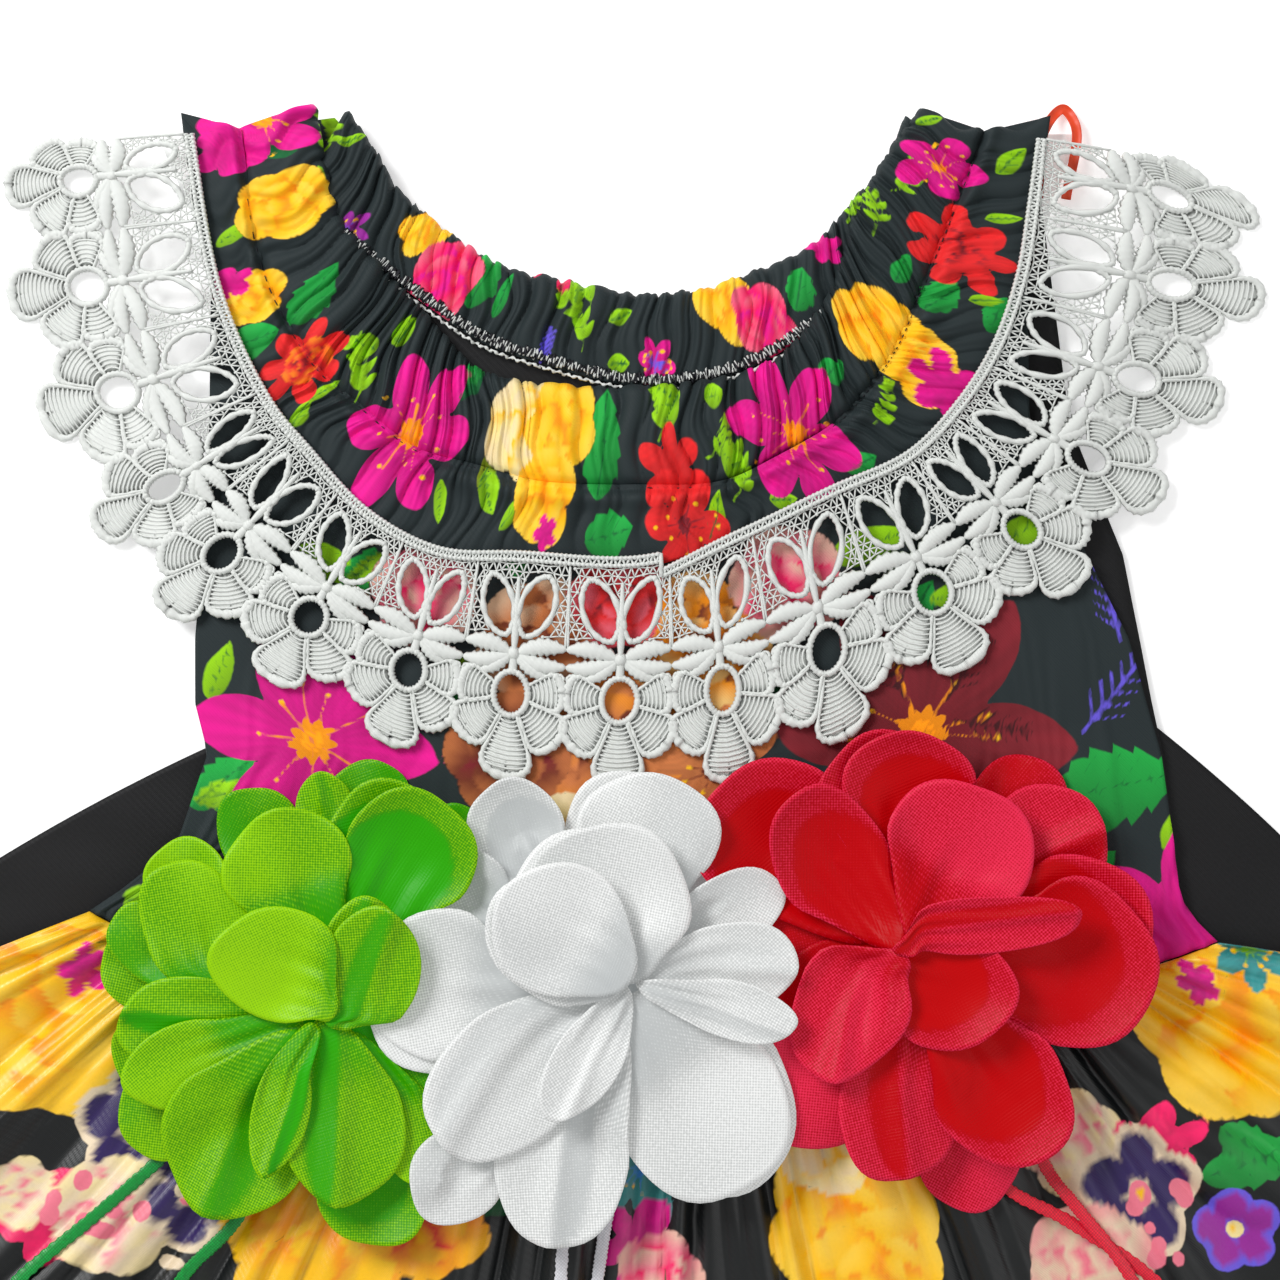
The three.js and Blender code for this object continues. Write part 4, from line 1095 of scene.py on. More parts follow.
coarse_rows, coarse_columns, inset = 20, 104, 0.002
u, v = np.meshgrid(np.linspace(inset, 1 - inset, coarse_columns + 1),
                   np.linspace(inset, 1 - inset, coarse_rows + 1))
field = top_of("front_skirt", front_fan, coarse_columns, coarse_rows, inset) - skirt_fold(u, v)
field = resample(blur(field, 2.0, 0.8), denser_at_waist(np.linspace(0, 1, ROWS + 1)),
                 np.linspace(0, 1, COLUMNS + 1))
points, u, v = lay(front_fan, field, denser_at_waist)
points[..., 2] += skirt_fold(u, v)
small, _ = ridges(u, v, 58, 31, 0.5, 0.7)
middle, lean = ridges(u, v, 29, 37, 0.4, 0.8)
fade = np.exp(-v / 0.2)
points[..., 2] += 3.9 * small * fade * (1 - np.exp(-v / 0.012))
points[..., 2] += (11.0 * middle - 4.2) * np.exp(-v / 0.6) * v**0.3
points[..., 2] += 0.8 * wrinkles(points[..., 0], points[..., 1], 30, 5) * np.minimum(1, v * 8) - 0.2
for tail in tails:
    line = tail[2][::3]
    low, high = line.min(0) - 9, line.max(0) + 9
    near = np.all((points[..., :2] > low[:2]) & (points[..., :2] < high[:2]), axis=-1)
    gap = np.linalg.norm(points[near][:, None, :2] - line[None, :, :2], axis=-1)
    room = line[gap.argmin(1), 2] - 0.8 + 0.35 * np.maximum(gap.min(1) - 2.4, 0) ** 1.5
    points[near, 2] = np.minimum(points[near, 2], room)
points[..., 2] = np.maximum(points[..., 2], 0.7)
cloth = blank(points[..., 0] + 2.2 * lean * np.exp(-v / 0.5), points[..., 1])
print_flowers(cloth, SKIRT)
scatter_flowers(cloth, 12, (-370, -245), (380, 60),
                lambda x, y: abs(x) < 176 and y > -52)
skirt = add_piece("skirt_front", *shell(points, 0.6, SKIP), printed_satin, "printed_satin",
                  ["front_skirt"])
print_on(skirt, cloth, SKIP)
skirt_top = points
print("skirt", area_of(points), "top", points[..., 2].max())

# %% [markdown]
# ## Gathered neck
# Round the neck runs a casing with elastic in it; below its stitch line the same cloth opens out
# as a ruffle. Both are one gathered band here, so that each ridge runs through the stitch line,
# where it is pinched flat.

# %% Neck and ruffle
front_edge, front_stitch = curve_of(NECK_FRONT, 0), curve_of(NECK_FRONT, 2)
front_head, front_tip = curve_of(NECK_FRONT, 4), curve_of(NECK_FRONT, 6)
NECK_HUB = (-6, 252)
CASING_DEPTH, RUFFLE_DEPTH, BACK_CASING_DEPTH = 24, 20, 22


def gathered(node, plan, rows, columns, deep, opens):
    """A gathered band of cloth. deep is the height of its ridges at v = 0 and v = 1."""
    points, u, v = lay(plan, heights_over(node, plan, rows, columns, (4, 120), (0.8, 2.0)))
    main, lean = ridges(u, v, 54, 3, 0.22, 0.6)
    split, _ = ridges(u, v, 101, 5, 0.3, 0.8)
    height = mix(deep[0], deep[1], v) * (0.9 * main + 0.34 * split * (1 - opens * v))
    return points, u, v, height, lean


def way_along(points):
    """The way along a band, from each point to the next, as steps of length 1."""
    ahead = np.gradient(points[..., :2], axis=1)
    return ahead / np.linalg.norm(ahead, axis=-1)[..., None]


def print_gathers(name, node, points, ahead, lean, table):
    """Prints a gathered band, so that its flowers are drawn into the gathers, and makes it."""
    shift = 0.5 * ahead * lean[..., None]
    cloth = blank(points[..., 0] + shift[..., 0], points[..., 1] + shift[..., 1], NECK_HUB)
    print_flowers(cloth, table)
    piece = add_piece(name, *shell(points, 0.6, 2), printed_knit, "printed_knit", [node])
    print_on(piece, cloth, 2)
    print(name, area_of(points), points[..., 2].max())
    return piece


def pinched(away, reach):
    """How strongly a stitch line holds the cloth, at a distance from it in millimetres."""
    return np.exp(-(away / reach) ** 2)


def casing_form(v, edge_drop, depth_mm):
    """Across a casing: rounded over its folded edge, full in the middle, pinched at the stitches."""
    near_edge = np.clip(v * depth_mm / 2.2, 0, 1)
    roll = edge_drop * (1 - np.sqrt(1 - (1 - near_edge) ** 2))
    return -roll + 0.9 * np.sin(np.pi * np.clip(v, 0, 1)) ** 0.6


plan = band(front_edge, front_stitch, 0, GAP / 2)
points, u, v, height, lean = gathered("neck_casing_front", plan, 26, 860, (3.4, 3.0), 0.0)
from_stitch = (1 - v) * CASING_DEPTH
pinch = 1 - 0.55 * pinched(from_stitch, 1.5)
points[..., 2] += height * pinch + casing_form(v, 2.0, CASING_DEPTH) - 1.8
points[..., 2] -= 0.9 * pinched(from_stitch, 1.2)
ahead = way_along(points)
outward = points[..., :2] - front_stitch(u)
outward /= np.linalg.norm(outward, axis=-1)[..., None] + 1e-6
points[..., :2] += outward * (0.35 * height * np.exp(-v * CASING_DEPTH / 3.0))[..., None]
points[..., :2] += ahead * (0.22 * lean * height * pinch)[..., None]
neck = print_gathers("neck_front", "neck_casing_front", points, ahead, lean, YOKE)

plan = band(front_stitch, front_head, -0.8, -3)
points, u, v, height, lean = gathered("ruffle_front", plan, 24, 860, (3.2, 1.1), 0.8)
from_edge = v * RUFFLE_DEPTH
pinch = 1 - 0.55 * pinched(from_edge - 0.8, 1.5)
puff = 1.3 * pinched(from_edge - 3.5, 2.2) - 1.1 * pinched(from_edge - 0.6, 1.2)
points[..., 2] += height * pinch + puff - 1.6
ahead = way_along(points)
points[..., :2] += ahead * (0.2 * lean * height * pinch)[..., None]
ruffle = print_gathers("ruffle", "ruffle_front", points, ahead, lean, YOKE)

# %% Back of the neck
plan = band(curve_of(NECK_BACK, 0), curve_of(NECK_BACK, 2))
points, u, v = lay(plan, heights_over("neck_casing_back", plan, 26, 560, (4, 72), (0.8, 1.6)))
main, lean = ridges(u, v, 34, 13, 0.16, 0.6)
split, _ = ridges(u, v, 66, 15, 0.25, 0.8)
height = 3.4 * (0.85 * main + 0.3 * split) * (1 - 0.4 * v**3)
points[..., 2] += height + casing_form(v, 1.6, BACK_CASING_DEPTH) * (1 - v) - 1.0
ahead = way_along(points)
points[..., :2] += ahead * (0.2 * lean * height)[..., None]
points[..., 1] += 0.5 * height * np.exp(-v * BACK_CASING_DEPTH / 3.0)
nape = print_gathers("neck_back", "neck_casing_back", points, ahead, lean, NAPE)
nape_edge = points[-2]

# %% [markdown]
# ## Thread
# Lace, overlock seams and stitches are all threads laid along a path. One tool sweeps a low
# rounded section along any path, and gathers the results, so that thousands of threads end up in
# one mesh.

# %% Threads
class Threads:
    """Collects swept threads and small patches as one mesh."""

    def __init__(self):
        self.points, self.faces, self.count = [], [], 0

    def sweep(self, path, width, height, closed=False, sides=5):
        path = np.asarray(path, float)
        if closed:
            ahead = np.roll(path, -1, 0) - np.roll(path, 1, 0)
        else:
            ahead = np.gradient(path, axis=0)
        side = np.column_stack([-ahead[:, 1], ahead[:, 0], 0 * ahead[:, 0]])
        side /= np.linalg.norm(side, axis=1)[:, None] + 1e-9
        round_way = np.linspace(0, np.pi, sides)
        width = np.broadcast_to(width, len(path))[:, None, None]
        height = np.broadcast_to(height, len(path))[:, None, None]
        ring = (path[:, None] + side[:, None] * (np.cos(round_way)[None, :, None] * width / 2)
                + np.array([0, 0, 1.0]) * np.sin(round_way)[None, :, None] * height)
        n = len(path)
        at = self.count + np.arange(n * sides).reshape(n, sides)
        after = np.roll(at, -1, 0) if closed else at[1:]
        here = at if closed else at[:-1]
        faces = np.stack([here, after, np.roll(after, -1, 1), np.roll(here, -1, 1)], -1)
        self.faces.extend(faces.reshape(-1, 4).tolist())
        if not closed:
            self.faces.extend([at[0].tolist(), at[-1, ::-1].tolist()])
        self.points.append(ring.reshape(-1, 3))
        self.count += n * sides

    def patch(self, outline, rise):
        """A low dome inside an outline."""
        outline = np.asarray(outline, float)
        middle, n = outline.mean(0), len(outline)
        inner = mix(middle, outline, 0.55) + [0, 0, rise * 0.7]
        at = self.count + np.arange(n)
        after = np.roll(at, -1)
        self.faces.extend(np.stack([at, after, after + n, at + n], -1).tolist())
        self.faces.extend(np.stack([at + n, after + n, np.full(n, self.count + 2 * n)], -1).tolist())
        self.faces.append(at[::-1].tolist())
        self.points += [outline, inner, (middle + [0, 0, rise])[None]]
        self.count += 2 * n + 1

    def piece(self, name, material, slot, nodes=()):
        made = add_piece(name, np.vstack(self.points), self.faces, material, slot, nodes)
        print(name, "faces:", len(self.faces))
        return made


# %% [markdown]
# The raw edge inside the back of the neck is overlocked: two threads, one white and one black,
# loop round the edge of the cloth side by side.

# %% Overlocked edge
OVERLOCK_FROM, OVERLOCK_TO = 0.085, 0.93
share = np.linspace(OVERLOCK_FROM, OVERLOCK_TO, 2600)
rim = np.column_stack([np.interp(share, np.linspace(0, 1, len(nape_edge)), nape_edge[:, k])
                       for k in range(3)])
ahead = np.gradient(rim, axis=0)
side = np.column_stack([-ahead[:, 1], ahead[:, 0], 0 * share])
side /= np.linalg.norm(side, axis=1)[:, None] * np.sign(side[:, 1].mean())
run = np.cumsum(np.linalg.norm(ahead, axis=1))
rng = np.random.default_rng(41)
for name, material, thick, slot in (("white", lace_thread, 0.46, "lace"),
                                    ("black", dark_thread, 0.6, "black_cloth")):
    serge = Threads()
    loops = rng.uniform(0.3, 0.62, 800).cumsum()
    turn = np.pi * np.interp(run, loops, np.arange(len(loops)))
    swing = np.interp(run, loops, rng.uniform(0.3, 1.6, len(loops)))
    path = rim + side * (0.9 + swing * np.cos(turn))[:, None]
    path[:, 2] += 0.45 + 0.3 * np.sin(turn * 1.3)
    path[:, 2] += np.interp(run, loops, rng.uniform(-0.1, 0.25, len(loops)))
    serge.sweep(path, thick, 0.4, sides=3)
    if name == "white":
        hem = (rim - side * (1.5 + 0.2 * np.sin(run * 2.3))[:, None])[::3]
        hem[:, 2] += 0.2
        serge.sweep(hem, 0.7 + 0.3 * np.sin(run[::3] * 4.1), 0.5, sides=4)
    serge.piece("overlock_" + name, material, slot)

# %% [markdown]
# The casing is closed by one row of stitches. They sink between the gathers, so only short
# lengths of black thread show.

# %% Stitch line
u = np.linspace(0.01, 0.99, 1400)
seam = front_stitch(u)
seam_z = heights_over("neck_casing_front", band(front_edge, front_stitch, 0, GAP / 2), 2, 1399,
                      (4, 120), (0.8, 2.0))[-1]
stitches = Threads()
line = np.column_stack([seam, seam_z - 1.3])
for start in range(0, 1390, 11):
    stitches.sweep(line[start:start + 6], 0.3, 0.3, sides=4)
stitches.piece("casing_stitches", dark_thread, "black_cloth")

# %% [markdown]
# ## Lace
# The collar is guipure lace: thick threads with nothing between them, so its holes are real. One
# repeat is charted: a corded heading, a net of stars, two slanting eyes, a knot with four
# leaf-shaped bars, and a flower of five stitched petals round an open ring. The chart is laid
# seventeen times between the heading and the tips, and bends with them.

# %% Lace chart
LACE_DEPTH, REPEAT, REPEATS = 56.0, 26.5, 17
LACE_JOIN, LACE_ROUND = 0.478, 330
RING_MIDDLE = 35
EYE_SIDE, EYE_DOWN, EYE_LEAN = 5.3, 13.4, math.atan2(5.6, 14.0)
FLOWER_HEARTS = [(-140, 231), (-135, 205), (-128, 179), (-117, 155), (-102, 139), (-81, 123),
                 (-56, 111), (-31, 107), (-5, 106), (20, 106), (45, 117), (71, 130),
                 (92, 146), (108, 163), (118, 183), (127, 206), (132, 229)]
search = np.linspace(0, 1, 3000)
from_head, to_tip = front_head(search), front_tip(search)
at_heart = mix(from_head, to_tip, RING_MIDDLE / LACE_DEPTH)
found = [float(search[np.argmin(np.linalg.norm(at_heart - np.array(heart), axis=1))])
         for heart in FLOWER_HEARTS]
print("flowers at", [round(f, 3) for f in found])
stations = [-0.3] + [k + 0.5 for k in range(REPEATS)] + [REPEATS + 0.3]
along_lace = [0.0] + found + [1.0]
lace_form = heights_over("lace_front", band(front_head, front_tip, 0, 2), 60, 700, (8, 136), (0.8, 1.2))


def read_height(field, down, along):
    """A grid of heights, read between its points at shares of 0 to 1."""
    row, column = down * (field.shape[0] - 1), along * (field.shape[1] - 1)
    j = np.minimum(row.astype(int), field.shape[0] - 2)
    i = np.minimum(column.astype(int), field.shape[1] - 2)
    upper = mix(field[j, i], field[j, i + 1], column - i)
    lower = mix(field[j + 1, i], field[j + 1, i + 1], column - i)
    return mix(upper, lower, row - j)


def lace_place(x, b, unit):
    """A point of the chart, in millimetres from the middle of a repeat and from the heading."""
    x, b = np.broadcast_arrays(np.asarray(x, float), np.asarray(b, float))
    u = np.interp(unit + 0.5 + x / REPEAT, stations, along_lace)
    share = b / LACE_DEPTH
    place = mix(front_head(u), front_tip(u), share[..., None])
    past = (u - LACE_JOIN) * LACE_ROUND
    step = 4.2 * np.exp(-past / 15) * np.clip(1 - b / 24, 0, 1)
    place[..., 1] -= np.where(past > 0, step, 0)
    z = read_height(lace_form, np.clip(share, 0, 1), np.clip(u, 0, 1)) - 0.9
    return np.concatenate([place, z[..., None]], -1)


def round_way(count):
    """The way once round a closed thread, as angles."""
    return np.linspace(0, 2 * np.pi, count, endpoint=False)


def eye_shape(side):
    """Outline of one slanting eye, pointed at both ends."""
    way = round_way(52)
    long = 7.9 * np.cos(way)
    wide = 4.3 * np.sign(np.sin(way)) * np.abs(np.sin(way)) ** 1.25
    x = EYE_SIDE - long * math.sin(EYE_LEAN) + wide * math.cos(EYE_LEAN)
    b = EYE_DOWN + long * math.cos(EYE_LEAN) + wide * math.sin(EYE_LEAN)
    return side * x, b


def inside_eye(x, b):
    x, b = abs(x) - EYE_SIDE, b - EYE_DOWN
    long = b * math.cos(EYE_LEAN) - x * math.sin(EYE_LEAN)
    wide = x * math.cos(EYE_LEAN) + b * math.sin(EYE_LEAN)
    return (long / 8.2) ** 2 + (wide / 4.6) ** 2 < 1


def petal_half(share, start, end, slope):
    """Half width of a lace petal: it opens like a fan and has a round end."""
    far = mix(start, end, share)
    cap = np.sqrt(np.clip(1 - np.clip((share - 0.55) / 0.45, 0, 1) ** 2, 0, 1))
    return far * slope * (0.9 + 0.1 * share) * cap


def petal_point(angle, far, wide):
    """A place on a flower of the chart: away from its ring, and to the side. Angle 0 is down."""
    return (far * math.sin(angle) + wide * math.cos(angle),
            RING_MIDDLE + far * math.cos(angle) * 1.04 - wide * math.sin(angle))


FLOWER_PETALS = [(0.0, 5.2, 19.5, 0.4), (0.84, 4.8, 15.6, 0.47), (-0.84, 4.8, 15.6, 0.47),
                 (1.68, 4.4, 12.8, 0.47), (-1.68, 4.4, 12.8, 0.47)]
lace, net = Threads(), Threads()


def beads(path, share, length, start=0.0):
    """The fine turns of a whipped thread, which make it thicker and thinner along its way."""
    run = np.cumsum(np.linalg.norm(np.gradient(path, axis=0), axis=1))
    return 1 + share * np.sin(2 * np.pi * run / length + start)


def cord(x, b, unit, width, height, closed=False, sides=5):
    """A whipped thread of the chart."""
    path = lace_place(x, b, unit)
    whip = beads(path, 0.2, 1.1)
    lace.sweep(path, width * whip, height * whip, closed, sides)


def net_of(unit):
    """Stars of fine thread: every place in a net of triangles is joined to its neighbours."""
    spots = {}
    for row in range(10):
        for step in range(-7, 8):
            x, b = 2.04 * (step + 0.5 * (row % 2)), 3.2 + 1.9 * row
            x, b = x + 0.3 * math.sin(7 * row + 3 * step), b + 0.3 * math.sin(5 * step + 2 * row)
            if abs(x) <= REPEAT / 2 + 0.3 and not inside_eye(x, b) and b < (14 if abs(x) < 3 else 21):
                spots[row, step] = (x, b)
    for (row, step), (x, b) in spots.items():
        shift = row % 2
        for mate in ((row, step + 1), (row + 1, step + shift), (row + 1, step - 1 + shift)):
            if mate in spots:
                x2, b2 = spots[mate]
                net.sweep(lace_place([x, x2], [b, b2], unit), 0.42, 0.36, sides=4)
        if (row + step) % 3 == 0:
            way = round_way(6)
            knot = lace_place(x + 0.55 * np.cos(way), b + 0.55 * np.sin(way), unit)
            net.patch(knot + [0, 0, 0.15], 0.35)


def eyes_and_bars(unit):
    """Two slanting eyes, the leaf-shaped bars below them, and the threads between repeats."""
    s = np.linspace(0, 1, 20)
    frill = 1 + 0.16 * np.sin(np.arange(20) * 2.2)
    for side in (1, -1):
        cord(*eye_shape(side), unit, 1.5, 1.1, closed=True)
        for far, end, sag, thick in ((REPEAT / 2, 23.2, -1.2, 3.7), (REPEAT / 2, 27.4, 1.0, 3.4),
                                     (8.6, 30.2, 0.8, 2.6)):
            path = lace_place(side * mix(0.4, far, s), mix(25.2, end, s) + sag * np.sin(np.pi * s), unit)
            lace.sweep(path, (0.8 + thick * np.sin(np.pi * s) ** 0.7) * frill,
                       0.8 + 0.8 * np.sin(np.pi * s))
        cord(side * np.linspace(REPEAT / 2, REPEAT / 2 - 0.3, 12), np.linspace(3, 23, 12), unit,
             0.7, 0.7, sides=4)
        way = round_way(16)
        cord(side * (REPEAT / 2 - 1.5 + 1.1 * np.cos(way)), 30.4 + 1.1 * np.sin(way), unit, 0.8, 0.7,
             closed=True, sides=4)


def stem_and_knot(unit):
    """The stem between the eyes, and the knot in which the bars meet."""
    s = np.linspace(0, 1, 20)
    lace.sweep(lace_place(0 * s, mix(6.5, 25.0, s), unit), 0.9 + 1.3 * np.sin(np.pi * s**1.5),
               1.0 + 0.5 * s)
    foot = np.linspace(25.0, 30.26, 8)
    lace.sweep(lace_place(0 * foot, foot, unit), 2.2, 1.3)
    way = round_way(14)
    lace.patch(lace_place(1.7 * np.cos(way), 25.2 + 1.9 * np.sin(way), unit) + [0, 0, 0.6], 1.3)


def stitched_petal(unit, angle, start, end, slope):
    """A petal of the lace flower: a whipped outline, a thin web, and threads laid across it."""
    round_end = 0.55 + 0.45 * np.sin(np.linspace(0, np.pi / 2, 14))
    share = np.concatenate([np.linspace(0, 0.55, 8)[:-1], round_end])
    half, far = petal_half(share, start, end, slope), mix(start, end, share)
    path = lace_place(*petal_point(angle, np.concatenate([far, far[::-1]]),
                                   np.concatenate([half, -half[::-1]])), unit)
    toward_tip = np.concatenate([share, share[::-1]])
    whip = beads(path, 0.22, 1.3, unit)
    lace.sweep(path, (0.9 + 3.0 * np.clip(toward_tip - 0.5, 0, 1)) * whip, 1.15 * whip)
    lace.patch(path, 0.35)
    rungs = int((end - start) / 1.15)
    for k in range(1, rungs):
        part = k / rungs * 0.9
        s = np.linspace(-1, 1, 5)
        bow = mix(start, end, part) + 0.9 * (1 - s**2) - 0.3
        rung = lace_place(*petal_point(angle, bow, petal_half(part, start, end, slope) * s), unit)
        lace.sweep(rung + [0, 0, 0.25], 0.62, 0.55, sides=4)


for unit in range(REPEATS):
    net_of(unit)
    eyes_and_bars(unit)
    stem_and_knot(unit)
    way = round_way(60)
    cord(4.3 * np.cos(way), RING_MIDDLE + 5.4 * np.sin(way), unit, 1.7, 1.5, closed=True)
    for petal_row in FLOWER_PETALS:
        stitched_petal(unit, *petal_row)
from_x, to_x = -REPEAT / 2, REPEAT * (REPEATS - 0.5)
for offset in (0.6, 2.4):
    x = np.linspace(from_x, to_x, 1500)
    cord(x, offset + 0 * x, 0, 1.1, 1.3)
x = np.linspace(from_x, to_x, 2400)
cord(x, 1.5 + 0.8 * np.sin(2 * np.pi * x / 2.1), 0, 0.7, 1.0, sides=4)
collar = lace.piece("lace_collar", lace_thread, "lace", ["lace_front"])
fill = net.piece("lace_net", lace_thread, "lace")

# %% [markdown]
# ## Satin flowers
# Three flowers are sewn to the waist. Each is made of round satin petals, sealed at the edge with
# heat, which curls them, and sewn together at the heart. The petals lie on each other in the order
# of this table, from the lowest to the one on top. A petal is a bowl, a dome, or folded along a
# line to one side of its middle; shade says how much shade is painted into it where it turns away
# from the light.

# %% Petals
HEARTS = {"green": (-74, 31), "white": (-3, 38), "red": (64, 43)}
PETALS = [
    # flower, middle, half length, half width, turn, form, shade, tip, twin
    ("red", (32, 72), 19, 17, 130, "bowl", 0.7, 3, 0), ("red", (64, 83), 15, 14, 95, "bowl", 0.7, 4, 8),
    ("red", (90, 77), 15, 12, 60, "dome", 0.5, 2, 0), ("red", (79, -5), 13, 11, -75, "dome", 0.0, 1, 0),
    ("green", (-44, 72), 8, 7, 60, "dome", 0.6, 1, 0),
    ("green", (-66, 79), 12, 9, 70, "dome", 0.6, 2, 0),
    ("green", (-91, 72), 13, 9, 120, "dome", 0.5, 2, 0),
    ("green", (-109, 61), 11, 9, 110, "dome", -0.2, 2, 0),
    ("green", (-116, 46), 13, 8, 140, "dome", 0.3, 2, 10),
    ("green", (-115, 20), 12, 10, 195, "dome", 0.2, 2, 0),
    ("green", (-113, 7), 13, 10, 220, "dome", 0.1, 2, 0),
    ("green", (-64, -11), 15, 12, -60, "bowl", 0.4, 2, 0),
    ("green", (-56, 4), 15, 7, -72, "dome", 0.0, 2, 0),
    ("white", (-43, -8), 13, 10, -135, "dome", 0.2, 1, 0),
    ("white", (2, 72), 16, 15, 78, "dome", 0.2, 3, 6),
    ("white", (-29, 73), 14, 10, 118, "bowl", 0.5, 3, 0),
    ("white", (-43, 59), 15, 10, 140, "dome", 0.4, 3, 0),
    ("green", (-76, 78), 10, 6, 88, "fold", 0.2, 5, 0),
    ("green", (-55, 68), 16, 14, 62, "bowl", 0.75, 5, 7),
    ("green", (-106, 50), 18, 11, 112, "dome", 0.0, 3, 0),
    ("green", (-106, 28), 19, 10, 182, "fold", 0.8, 3, 0),
    ("green", (-106, 19), 18, 9, 200, "dome", -0.1, 3, 0),
    ("red", (96, 69), 17, 13, 35, "fold", 0.4, 4, 0),
    ("red", (42, 14), 17, 14, -140, "dome", -0.2, 2, 0),
    ("white", (14, 9), 24, 18, -62, "dome", 0.0, 2, 4),
    ("white", (20, 54), 16, 8, 25, "dome", 0.2, 3, 0),
    ("white", (-47, 37), 18, 16, 172, "dome", 0.1, 4, 5),
    ("green", (-95, 2), 21, 16, -122, "fold", 0.5, 4, 0),
    ("green", (-71, 6), 21, 13, -82, "fold", 0.6, 4, 0),
    ("green", (-84, 65), 14, 14, 105, "dome", 0.0, 5, 0),
    ("red", (103, 42), 20, 18, -4, "bowl", 0.6, 4, 9), ("red", (62, 9), 19, 13, -95, "fold", 0.6, 4, 0),
    ("red", (86, 12), 19, 14, -55, "bowl", 0.8, 4, 0),
    ("white", (-18, -5), 21, 14, -108, "fold", 0.4, 3, 0),
    ("white", (20, 41), 18, 10, 8, "fold", 0.1, 4, 0),
    ("green", (-85, 9), 17, 6, -102, "fold", 0.9, 3, 0),
    ("red", (72, 37), 17, 13, -15, "bowl", 0.9, 1, 0),
    ("green", (-64, 39), 18, 10, 80, "fold", 0.5, 5, 9),
    ("red", (46, 67), 19, 12, 122, "bowl", 0.6, 6, 0),
    ("white", (-8, 57), 19, 18, 84, "dome", 0.1, 6, 12),
    ("red", (76, 69), 17, 16, 60, "dome", -0.1, 6, 0),
    ("white", (-31, 16), 24, 14, -132, "fold", 0.2, 4, 0),
    ("green", (-84, 42), 18, 12, 165, "dome", -0.35, 6, 0),
    ("red", (50, 33), 19, 12, -112, "fold", -0.2, 6, 0),
    ("white", (21, 32), 17, 6, -14, "fold", 0.2, 5, 0),
    ("white", (-12, 21), 18, 7, -122, "fold", -0.1, 6, 0),
    ("white", (-17, 50), 19, 14, 155, "dome", 0.1, 7, 5), ("red", (80, 52), 25, 6, 4, "fold", 0.5, 5, 0),
]
RINGS, SPOKES = 14, 46
CELL, LAID_ROWS, LAID_COLUMNS, LAID_CORNER = 1.5, 140, 240, (-180, -70)
HIGHEST = 41.5
CLEARANCE, SATIN_THICK = 0.5, 0.3
laid = np.zeros((LAID_ROWS, LAID_COLUMNS))


def cells(x, y):
    """The cells of the map of laid cloth, 1.5 mm wide, in which points lie."""
    return (np.clip((y - LAID_CORNER[1]) / CELL, 1, LAID_ROWS - 2).astype(int),
            np.clip((x - LAID_CORNER[0]) / CELL, 1, LAID_COLUMNS - 2).astype(int))


def smooth(value, low, high):
    share = np.clip((value - low) / (high - low), 0, 1)
    return share * share * (3 - 2 * share)


for surface in [chest_top, skirt_top] + tails:
    flat = surface.reshape(-1, 3)
    np.maximum.at(laid, cells(flat[:, 0], flat[:, 1]), flat[:, 2])


def swung(x, y, heart, degrees):
    """A place turned about the heart of its flower."""
    c, s = math.cos(math.radians(degrees)), math.sin(math.radians(degrees))
    off_x, off_y = x - heart[0], y - heart[1]
    return heart[0] + off_x * c - off_y * s, heart[1] + off_x * s + off_y * c


def petal_form(a, b, ring, way, wide, form, shade, rng):
    """Height of a petal over its own plane, and how much painted shade it takes where it turns away
    from the light. a runs from its root at -1 to its tip at 1, b across it."""
    line = b - rng.uniform(-0.3, 0.3) - 0.25 * a * rng.choice([-1, 1])
    side = rng.choice([-1, 1])
    if form == "bowl":
        relief = 2.6 * ring**2 * (0.6 + 0.4 * a) - 1.2 * (1 - ring**2)
        # Painted shade inside the bowl, lighter towards its rim.
        away = shade * (1 - smooth(ring + 0.35 * a + 0.12 * side * b, 0.76, 0.83)) + 0.15
    elif form == "dome":
        relief = 1.1 * (1 - (b - 0.2 * side) ** 2) - 0.5 * smooth(a, 0.4, 1.0)
        # Painted shade towards the root, under the petals above, and on one side of the dome.
        away = shade + 0.7 * smooth(-a, 0.1, 0.75) - 0.3 * smooth(side * b, -0.6, 0.6)
    else:
        relief = 3.0 * np.exp(-(line / 0.22) ** 2) * (0.55 + 0.45 * a) + 1.6 * b * side
        lens = side * line / (0.12 + 0.8 * np.sqrt(np.clip(1 - a * a, 0, 1)))
        # Painted shade on one side of the fold, and towards the root.
        away = shade * smooth(lens, -0.03, 0.08) * (1 - smooth(lens, 0.5, 0.64))
        away = away + 0.3 * smooth(-a, 0.2, 0.8)
    flute = np.cos(b * 8 + rng.uniform(0, 6)) + 0.6 * np.cos(b * 15 + rng.uniform(0, 6))
    relief = relief * min(wide, 13) / 13 + 0.5 * flute * smooth(-a, -0.4, 0.7)
    relief = relief + rng.uniform(0.4, 1.0) * ring**3 * np.sin(2 * way + rng.uniform(0, 6))
    relief = relief + rng.uniform(0.2, 0.5) * ring**4 * np.sin(5 * way + rng.uniform(0, 6))
    # A painted highlight along the rim: less shade there, so more of its threads glint.
    return relief, np.clip(away - 0.35 * smooth(ring, 0.9, 1.0), -0.8, 1)


